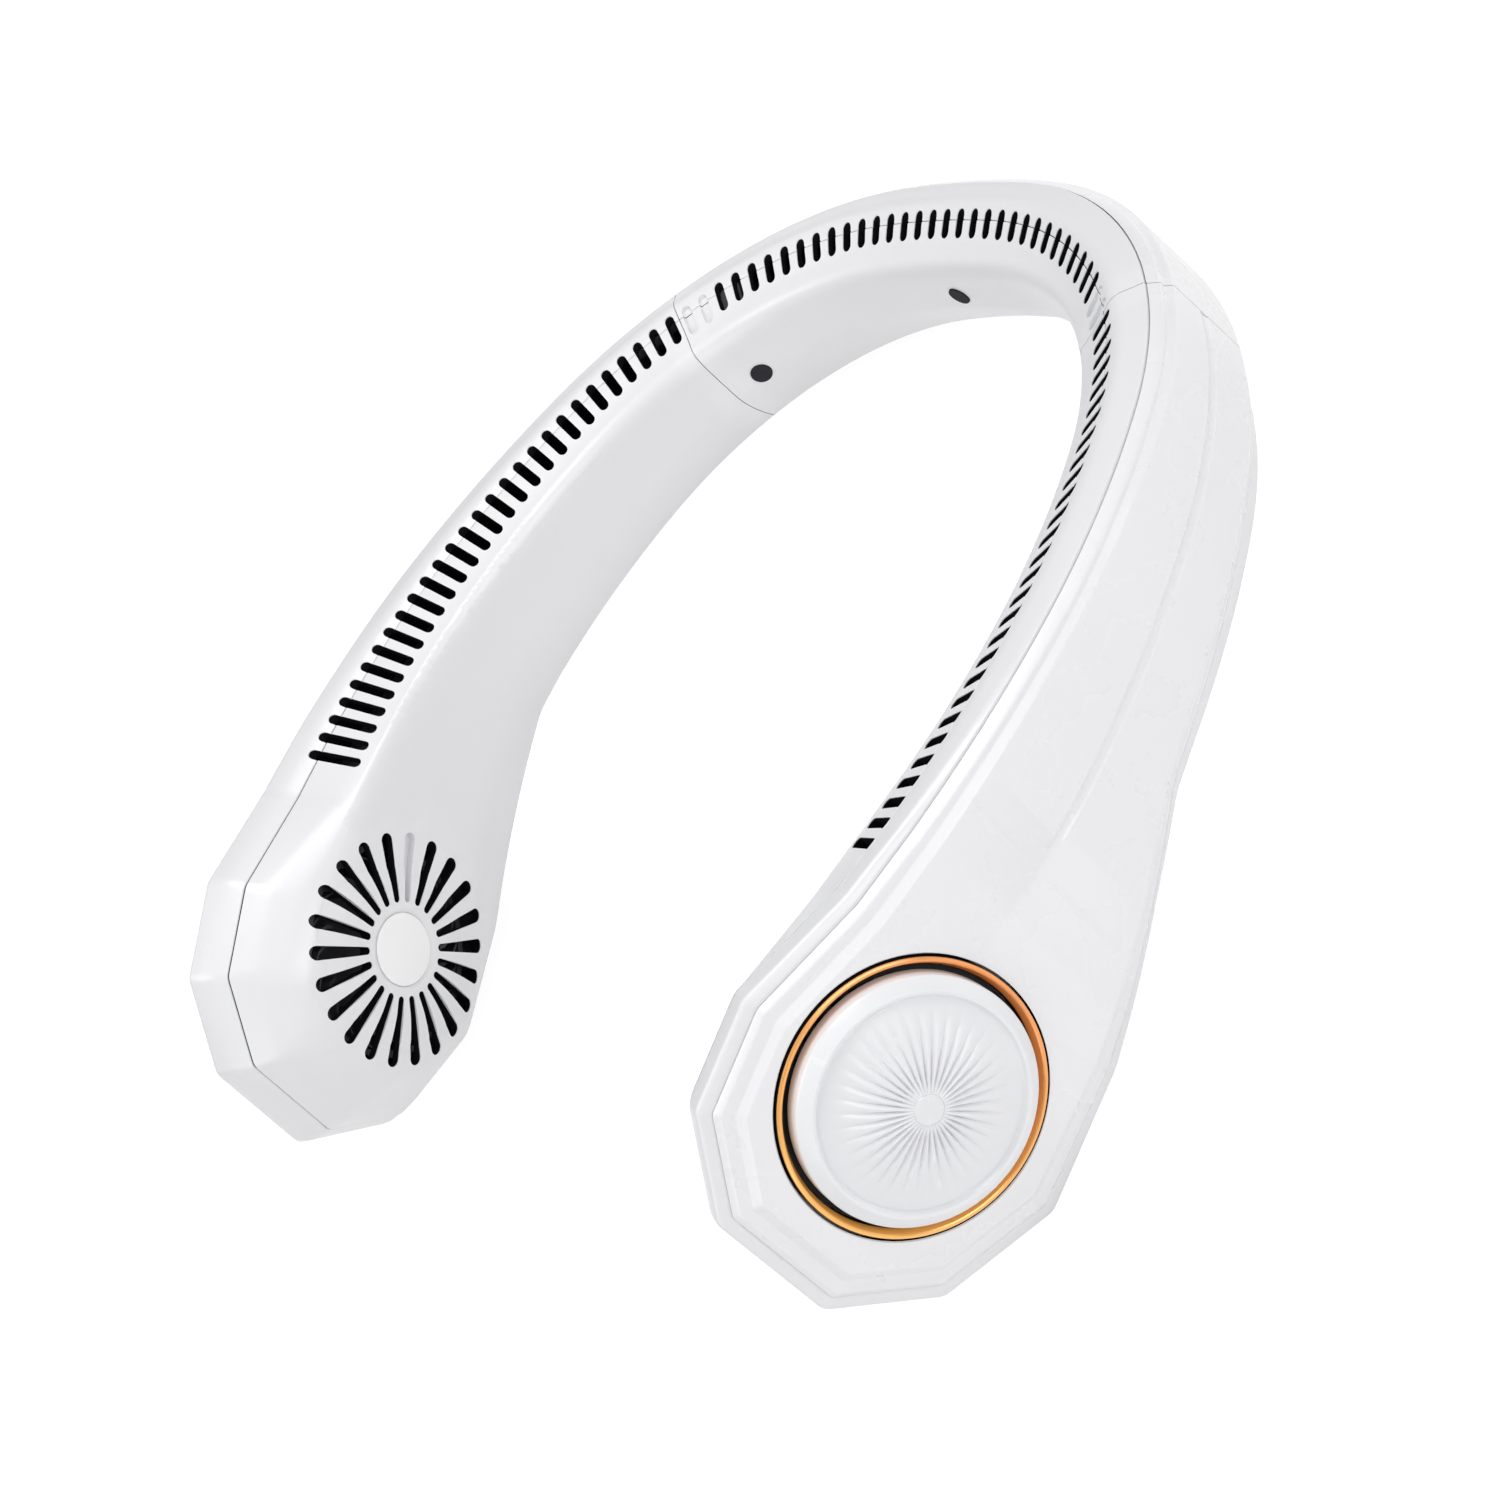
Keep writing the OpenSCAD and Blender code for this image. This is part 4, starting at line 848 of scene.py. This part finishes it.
def arm_shells():
    inner = uncut("arm_inner", arm_outline, inner_lines, WALL, INNER_ROUNDS, SECTION_STEPS, INNER_TURNS)
    outer = uncut("arm_outer", arm_outline, outer_lines, WALL, OUTER_ROUNDS, SECTION_STEPS, OUTER_TURNS)
    skin = skin_of(inner, outer, dish)
    own = range(VENTS_ON_BACK + 1, VENTS + 1)
    vents = joined("vents", [vent(vent_along(k), VENT_CUT, skin) for k in own])
    board, port = joined("board", [button_hole, light_hole]), joined("port", [port_hole])
    web = joined("web_hole", [cylinder(RING_IN_R, *WEB_CUT, head, WEB_STEPS)])
    cuts = [vents, joined("grille", grille_tools(skin)), disc_seat]
    add_pair("arm_inner_shell", combine(inner, cuts + [board, port], [dish]), combine(inner, cuts, [dish]))
    add_pair("arm_outer_shell", combine(outer, [vents, web, port]), combine(outer, [vents, web]))


def arm_covers():
    body = uncut("arm_cover", arm_outline, cover_lines, COVER_WALL, COVER_ROUNDS, COVER_STEPS,
                 COVER_TURNS, face_fill)
    # Its wall beside the ring is painted dark, as shade in the gap between ring and cover
    add_pair("arm_cover", combine(body, [revolve("ring_hole", RING_SEAT, head, dark=(1,))]))


def back_vent(k, way, skin):
    if k > VENTS_ON_BACK - BLIND_VENTS:
        return vent(way * vent_along(k), BLIND_DEPTH)
    return vent(way * vent_along(k), VENT_CUT, skin)


def back_mouldings():
    inner = uncut("back_inner", back_outline, inner_lines, WALL, INNER_ROUNDS, SECTION_STEPS)
    outer = uncut("back_outer", back_outline, outer_lines, WALL, OUTER_ROUNDS, SECTION_STEPS)
    skin = skin_of(inner, outer)
    ways = [(k, way) for way in (-1, 1) for k in range(1, VENTS_ON_BACK + 1)]
    vents = joined("back_vents", [back_vent(k, way, skin) for k, way in ways])
    meshes["back_inner_shell"] = combine(inner, [vents, joined("plug_holes", plug_holes)])
    meshes["back_outer_shell"] = combine(outer, [vents])
    meshes["back_cover"] = uncut("back_cover", back_outline, cover_lines, COVER_WALL, COVER_ROUNDS,
                                 COVER_STEPS)


arm_shells()
arm_covers()
back_mouldings()


# Cap, ring and disc of each head; sections are closed outlines of (radius, level)

CAP_WALL, CAP_INNER_R = 1.4, 0.8
FIELD_ROWS, FLUTE_STEPS = 26, 10
PLEAT_DEPTH, PLEAT_SHAPE = 0.6, 0.8
PLEAT_RISE, PLEAT_FALL, PLEAT_END = 2, 8, 1
CAP_SHARP, RING_SHARP = 30, 24


def dome(r):
    return CAP_RIM + CAP_BEVEL - FLUTE_DROP + FLUTE_RISE * (1 - (r / FLUTE_R) ** 2)


def flute(r, t):
    """Drop of the pleated field below its dome, at a radius and direction."""
    swell = clamp((r - BOSS_R) / PLEAT_RISE) * clamp((FLUTE_R - PLEAT_END - r) / PLEAT_FALL)
    wave = abs(sin(FLUTES * t / 2))
    return PLEAT_DEPTH * swell * (1 - wave ** PLEAT_SHAPE)


def cap_profile():
    """The boss and the rim of the cap's section, as (radius, level), with the pleated
    field between them, whose levels are None: flute gives them for each direction."""
    edge, foot, boss = CAP_RIM + CAP_BEVEL, dome(FLUTE_R), dome(BOSS_R)
    middle = [(CAP_INNER_R, boss + 0.1), (BOSS_R - 0.35, boss + 0.1), (BOSS_R - 0.22, boss + 0.08),
              (BOSS_R - 0.1, boss - 0.1)]
    field = [(BOSS_R + (FLUTE_R - BOSS_R) * i / FIELD_ROWS, None) for i in range(FIELD_ROWS + 1)]
    step = [(FLUTE_R + 0.12, foot - 0.02), (FLUTE_R + 0.3, foot + 0.1)]
    land = [(CAP_TOP_R - 0.45, edge - 0.1), (CAP_TOP_R - 0.2, edge - 0.02), (CAP_TOP_R + 0.05, edge - 0.03)]
    bevel = [(CAP_TOP_R + 0.25, edge - 0.2), (CAP_R - 0.25, CAP_RIM + 0.28), (CAP_R - 0.05, CAP_RIM + 0.02),
             (CAP_R, CAP_RIM - 0.25)]
    inside = [(CAP_R, -CAP_WALL), (CAP_R - CAP_WALL, -CAP_WALL), (CAP_R - CAP_WALL, CAP_RIM - CAP_WALL),
              (FLUTE_R, foot - CAP_WALL), (CAP_INNER_R, boss - CAP_WALL)]
    return middle + field + step + land + bevel + inside


def cap_mesh():
    steps, profile = FLUTES * FLUTE_STEPS, cap_profile()
    rows = len(profile)
    pts, polys = [], []
    for i in range(steps):
        t = 2 * pi * i / steps
        for r, z in profile:
            z = dome(r) - flute(r, t) if z is None else z
            pts.append(head @ Vector((r * cos(t) * MM, r * sin(t) * MM, z * MM)))
    for i in range(steps):
        a, b = i * rows, (i + 1) % steps * rows
        for j in range(rows - 1):
            polys.append((a + j, b + j, b + j + 1, a + j + 1))
    polys.append([i * rows for i in range(steps)])
    polys.append([i * rows + rows - 1 for i in range(steps)][::-1])
    mesh = make_mesh("cap", pts, polys)
    smooth(mesh, CAP_SHARP)
    return mesh


RING_OUT_R, RING_FOOT = RING_R - 0.4, -2.72
RING_SECTION = [(RING_IN_R, RING_FOOT), (RING_OUT_R, RING_FOOT), (RING_OUT_R, 0.05), (RING_R - 0.5, 0.28),
                (RING_R - 0.75, RING_PROUD), (RING_R - 0.95, RING_PROUD), (RING_R - 1.15, 0.28),
                (RING_IN_R + 0.1, -1.1), (RING_IN_R, -1.3)]
# The ring's foot, outer wall and inner walls are painted dark, as shade in the gaps beside the cover and the
# cap
RING_DARK = (0, 1, 7, 8)
DISC_BACK = DISH_FACE + DISC_SEAT - 0.01
DISC_RIM = [(DISC_R - 0.5, DISH_FACE - 0.02), (DISC_R - 0.12, DISH_FACE + 0.06), (DISC_R, DISH_FACE + 0.25)]
DISC_SECTION = [(0, DISH_FACE - 0.02)] + DISC_RIM + [(DISC_R, DISC_BACK), (0, DISC_BACK)]

add_pair("intake_cap", cap_mesh())
add_pair("intake_ring", revolve("ring", RING_SECTION, head, RING_STEPS, RING_SHARP, RING_DARK))
add_pair("grille_disc", revolve("disc", DISC_SECTION, head))


# Materials. NOISE values are a scale and a detail, each RANGE what is spread over 0 to 1.

DRIFT_NOISE, DRIFT_RANGE = (26, 3), (0.3, 0.7)
GLOSS_NOISE, GLOSS_RANGE = (95, 4), (0.35, 0.65)
GRAIN_DETAIL, GRAIN_DEPTH = 2, 0.00001
EDGE_FROM, EDGE_TO = 0.505, 0.56
COAT_ROUGH = 0.25


def add_node(tree, kind, values):
    """A shader node with its inputs: numbers, colours, or sockets that are linked to them."""
    n = tree.nodes.new("ShaderNode" + kind)
    for key, value in values.items():
        if isinstance(value, bpy.types.NodeSocket):
            tree.links.new(value, n.inputs[key])
        else:
            n.inputs[key].default_value = (*value, 1) if isinstance(value, tuple) else value
    return n


def material(name, colour, tint, rough, metallic=0.0, bump=0.0, grain=900, coat=0.0, specular=0.5,
             rough_swing=0.02, wear=0.0, wear_colour=None, painted_light_along_y=None):
    """A moulded, painted or metal finish: colour and roughness drift slowly over the
    surface, a fine grain breaks up the gloss, and the convex edges are rubbed lighter.
    Given two places in metres along y, the colour goes over to its tint between them instead of drifting: a
    painted gradient of light and reflection."""
    mat = bpy.data.materials.new(name)
    mat.use_nodes = True
    tree = mat.node_tree
    shader = tree.nodes["Principled BSDF"]
    shader.inputs["Metallic"].default_value = metallic
    shader.inputs["Coat Weight"].default_value = coat
    shader.inputs["Coat Roughness"].default_value = COAT_ROUGH
    shader.inputs["Specular IOR Level"].default_value = specular
    where = add_node(tree, "TexCoord", {}).outputs["Object"]

    def noise(scale, detail):
        return add_node(tree, "TexNoise", {"Vector": where, "Scale": scale, "Detail": detail}).outputs["Fac"]

    def spread_over(value, low, high, most=1):
        values = {"Value": value, "From Min": low, "From Max": high, "To Max": most}
        return add_node(tree, "MapRange", values).outputs["Result"]

    def mixed(share, a, b):
        return add_node(tree, "MixRGB", {"Fac": share, "Color1": a, "Color2": b}).outputs["Color"]

    # A painted gradient of light and reflection along y, in place of the drift
    if painted_light_along_y:
        share = spread_over(add_node(tree, "SeparateXYZ", {"Vector": where}).outputs["Y"], *painted_light_along_y)
    else:
        share = spread_over(noise(*DRIFT_NOISE), *DRIFT_RANGE)
    base = mixed(share, colour, tint)
    patches = spread_over(noise(*GLOSS_NOISE), *GLOSS_RANGE)
    rougher = mixed(patches, (rough - rough_swing,) * 3, (rough + rough_swing,) * 3)
    tree.links.new(rougher, shader.inputs["Roughness"])
    if bump:
        dents = {"Strength": bump, "Distance": GRAIN_DEPTH, "Height": noise(grain, GRAIN_DETAIL)}
        tree.links.new(add_node(tree, "Bump", dents).outputs["Normal"], shader.inputs["Normal"])
    if wear:
        edges = add_node(tree, "NewGeometry", {}).outputs["Pointiness"]
        base = mixed(spread_over(edges, EDGE_FROM, EDGE_TO, wear), base, wear_colour)
    tree.links.new(base, shader.inputs["Base Color"])
    return mat


LOOKS = {
    "shell_white": dict(
        colour=(0.80, 0.80, 0.82), tint=(0.815, 0.815, 0.832), rough=0.34, bump=0.03, coat=0.2,
        wear=0.25, wear_colour=(0.90, 0.90, 0.91)),
    "cover_white": dict(
        colour=(0.83, 0.83, 0.85), tint=(0.845, 0.845, 0.862), rough=0.28, bump=0.02, coat=0.3,
        wear=0.25, wear_colour=(0.92, 0.92, 0.93)),
    "cap_white": dict(
        colour=(0.80, 0.81, 0.83), tint=(0.83, 0.83, 0.85), rough=0.3, bump=0.05, coat=0.1,
        wear=0.4, wear_colour=(0.92, 0.92, 0.93)),
    # The ring's orange to red-brown across y is painted light and reflection
    "ring_gold": dict(
        colour=(1.0, 0.46, 0.07), tint=(0.90, 0.20, 0.02), painted_light_along_y=(-0.078, -0.034), rough=0.2,
        rough_swing=0.03, metallic=0.3, coat=0.6, grain=2500, bump=0.05,
        wear=0.3, wear_colour=(1.0, 0.72, 0.35)),
    "frame_grey": dict(
        colour=(0.045, 0.047, 0.05), tint=(0.06, 0.062, 0.066), rough=0.5, bump=0.4,
        wear=0.3, wear_colour=(0.11, 0.11, 0.12)),
    "fan_grey": dict(
        colour=(0.03, 0.032, 0.036), tint=(0.045, 0.047, 0.052), rough=0.42, bump=0.3,
        wear=0.3, wear_colour=(0.09, 0.09, 0.1)),
    "steel": dict(
        colour=(0.55, 0.55, 0.56), tint=(0.62, 0.62, 0.63), rough=0.3, metallic=1.0, grain=1800, bump=0.3,
        wear=0.4, wear_colour=(0.8, 0.8, 0.8)),
    "copper": dict(
        colour=(0.62, 0.27, 0.12), tint=(0.72, 0.34, 0.16), rough=0.35, metallic=1.0, grain=2200, bump=0.6,
        wear=0.3, wear_colour=(0.85, 0.5, 0.3)),
    "plug_rubber": dict(
        colour=(0.012, 0.012, 0.014), tint=(0.02, 0.02, 0.024), rough=0.75, specular=0.15,
        grain=1600, bump=0.4, wear=0.2, wear_colour=(0.06, 0.06, 0.07)),
    "battery_wrap": dict(
        colour=(0.05, 0.12, 0.35), tint=(0.06, 0.15, 0.4), rough=0.35, bump=0.3,
        wear=0.3, wear_colour=(0.15, 0.25, 0.5)),
    "board_green": dict(
        colour=(0.01, 0.13, 0.05), tint=(0.015, 0.17, 0.07), rough=0.4, grain=1500, bump=0.5,
        wear=0.3, wear_colour=(0.3, 0.3, 0.15)),
    "switch_black": dict(
        colour=(0.015, 0.015, 0.017), tint=(0.025, 0.025, 0.028), rough=0.45, bump=0.4,
        wear=0.3, wear_colour=(0.07, 0.07, 0.08)),
    "button_white": dict(
        colour=(0.58, 0.59, 0.61), tint=(0.62, 0.63, 0.65), rough=0.36, bump=0.15,
        wear=0.4, wear_colour=(0.85, 0.85, 0.87)),
    "light_lens": dict(
        colour=(0.75, 0.82, 0.9), tint=(0.8, 0.86, 0.93), rough=0.15, bump=0.1, coat=0.5,
        wear=0.3, wear_colour=(0.9, 0.93, 0.97)),
    "disc_white": dict(
        colour=(0.95, 0.95, 0.95), tint=(0.97, 0.97, 0.97), rough=0.3, bump=0.03,
        wear=0.2, wear_colour=(1.0, 1.0, 1.0)),
    # Painted shade: near black on inner skins and on the walls of slots and gaps, where light does not reach
    "painted_shade_dark": dict(
        colour=(0.006, 0.006, 0.008), tint=(0.01, 0.01, 0.012), rough=0.85, specular=0.1, bump=0.2),
}
finishes = {name: material(name, **look) for name, look in LOOKS.items()}

SLOTS = {
    "inner_shell": "shell_white", "outer_shell": "shell_white", "cover": "cover_white",
    "intake_cap": "cap_white", "intake_ring": "ring_gold", "grille_disc": "cap_white",
    "motor_mount": "frame_grey", "scroll": "frame_grey", "joint_sleeve": "frame_grey",
    "duct_floor": "frame_grey", "stator": "copper", "rotor": "steel", "impeller": "fan_grey",
    "screw": "steel", "plug": "plug_rubber", "battery": "battery_wrap",
    "control_board": "board_green", "charging_port": "steel", "power_switch": "switch_black",
    "power_button": "button_white", "status_light": "light_lens"}


def slot_of(node):
    return next(v for k, v in SLOTS.items() if node.endswith(k))


def finish_of(node):
    """The disc is whiter than the caps, whose slot it shares."""
    return finishes["disc_white" if node.endswith("grille_disc") else slot_of(node)]


def dress(mesh, *mats):
    """Gives a mesh its materials, also where a cut has left it with empty places."""
    for i, m in enumerate(mats):
        if i < len(mesh.materials):
            mesh.materials[i] = m
        else:
            mesh.materials.append(m)


for node, mesh in meshes.items():
    piece = bpy.data.objects.new(node + "_moulding", mesh)
    scene.collection.objects.link(piece)
    # The second material, on inner skins and on the walls of slots and gaps, is painted shade
    dress(mesh, finish_of(node), finishes["painted_shade_dark"])
    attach(piece, "housing")
    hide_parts(node)

for node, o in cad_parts.items():
    if node not in meshes:
        finish = finish_of(node)
        if not o.material_slots:
            o.data.materials.append(finish)
        for k in o.material_slots:
            k.material = finish


# Stage: a floor and a world that look white, but light the object as dimmer ones

FLOOR_HALF, FLOOR_LEVEL = 3, -0.0002
FLOOR_LIT, FLOOR_FAINT, FLOOR_GLOW = 0.8, 0.25, 0.9
WORLD_DIM, WORLD_BRIGHT = 0.3, 1.0


def either(tree, a, b):
    most = add_node(tree, "Math", {0: a, 1: b})
    most.operation = "MAXIMUM"
    return most.outputs[0]


def choose(tree, share, a, b):
    return add_node(tree, "MixShader", {0: share, 1: a.outputs[0], 2: b.outputs[0]}).outputs[0]


def grey(level):
    return level, level, level


def floor_material():
    """White to the camera and in reflections, and a plain diffuse floor to other rays."""
    mat = bpy.data.materials.new("floor_white")
    mat.use_nodes = True
    tree = mat.node_tree
    tree.nodes.clear()
    rays = add_node(tree, "LightPath", {}).outputs
    bent = either(tree, rays["Is Glossy Ray"], rays["Is Transmission Ray"])
    seen = either(tree, rays["Is Camera Ray"], bent)
    lit = add_node(tree, "BsdfDiffuse", {"Color": grey(FLOOR_LIT)})
    faint = add_node(tree, "BsdfDiffuse", {"Color": grey(FLOOR_FAINT)})
    glow = add_node(tree, "Emission", {"Strength": FLOOR_GLOW})
    both = add_node(tree, "AddShader", {0: faint.outputs[0], 1: glow.outputs[0]})
    add_node(tree, "OutputMaterial", {"Surface": choose(tree, seen, lit, both)})
    return mat


def make_floor():
    a = FLOOR_HALF
    mesh = make_mesh("floor", [(-a, -a, 0), (a, -a, 0), (a, a, 0), (-a, a, 0)], [(0, 1, 2, 3)])
    mesh.materials.append(floor_material())
    floor_piece = bpy.data.objects.new("floor", mesh)
    scene.collection.objects.link(floor_piece)
    floor_piece.location.z = FLOOR_LEVEL


def make_world():
    """White to the camera and through glass, and dim as a light."""
    world = bpy.data.worlds.new("studio")
    scene.world = world
    world.use_nodes = True
    tree = world.node_tree
    tree.nodes.clear()
    rays = add_node(tree, "LightPath", {}).outputs
    seen = either(tree, rays["Is Camera Ray"], rays["Is Transmission Ray"])
    dim = add_node(tree, "Background", {"Color": grey(1), "Strength": WORLD_DIM})
    bright = add_node(tree, "Background", {"Color": grey(1), "Strength": WORLD_BRIGHT})
    add_node(tree, "OutputWorld", {"Surface": choose(tree, seen, dim, bright)})


make_floor()
make_world()

# Lamps: place in metres, size and power; all look at the same point

LAMP_TARGET = (0, 0, 0.03)
LAMPS = {
    "key": ((-0.4, -0.7, 1.4), (0.8, 0.8), 6),
    "side": ((1.4, 0.2, 0.6), (0.8, 0.8), 7),
    "top": ((0.2, 0.6, 1.5), (0.9, 0.6), 12),
    "front": ((0.5, -1.4, 0.35), (0.7, 0.7), 4),
}


def lamp(name, at, size, power):
    data = bpy.data.lights.new(name, "AREA")
    data.shape = "RECTANGLE"
    data.size, data.size_y = size
    data.energy = power
    o = bpy.data.objects.new(name, data)
    scene.collection.objects.link(o)
    o.location = at
    o.rotation_euler = (Vector(LAMP_TARGET) - Vector(at)).to_track_quat("-Z", "Y").to_euler()


for name, values in LAMPS.items():
    lamp(name, *values)

# The photograph's camera, as it was fitted to the housing before its tilt: rows that
# point right, down and ahead in the picture, its place in millimetres and its focal length

CAMERA_ROWS = np.array([[0.5751, 0.5161, -0.6347], [0.0768, -0.8065, -0.5862], [-0.8145, 0.2884, -0.5034]])
CAMERA_AT = np.array([538.5, -282.3, 333.1])
FOCAL_PX, PHOTO_PX, SENSOR = 4094.8, 1500, 36


def photo_camera():
    x, y, z = CAMERA_ROWS[:, 0], CAMERA_ROWS[:, 1], CAMERA_ROWS[:, 2]
    rows = np.stack([x, y * cos(TILT) + z * sin(TILT), z * cos(TILT) - y * sin(TILT)], 1)
    data = bpy.data.cameras.new("photo")
    data.sensor_width = SENSOR
    data.lens = FOCAL_PX * SENSOR / PHOTO_PX
    camera = bpy.data.objects.new("photo", data)
    scene.collection.objects.link(camera)
    camera.matrix_world = axes(rows[0], -rows[1], -rows[2], posed(CAMERA_AT))
    return camera


scene.camera = photo_camera()
scene.view_settings.view_transform = "Standard"
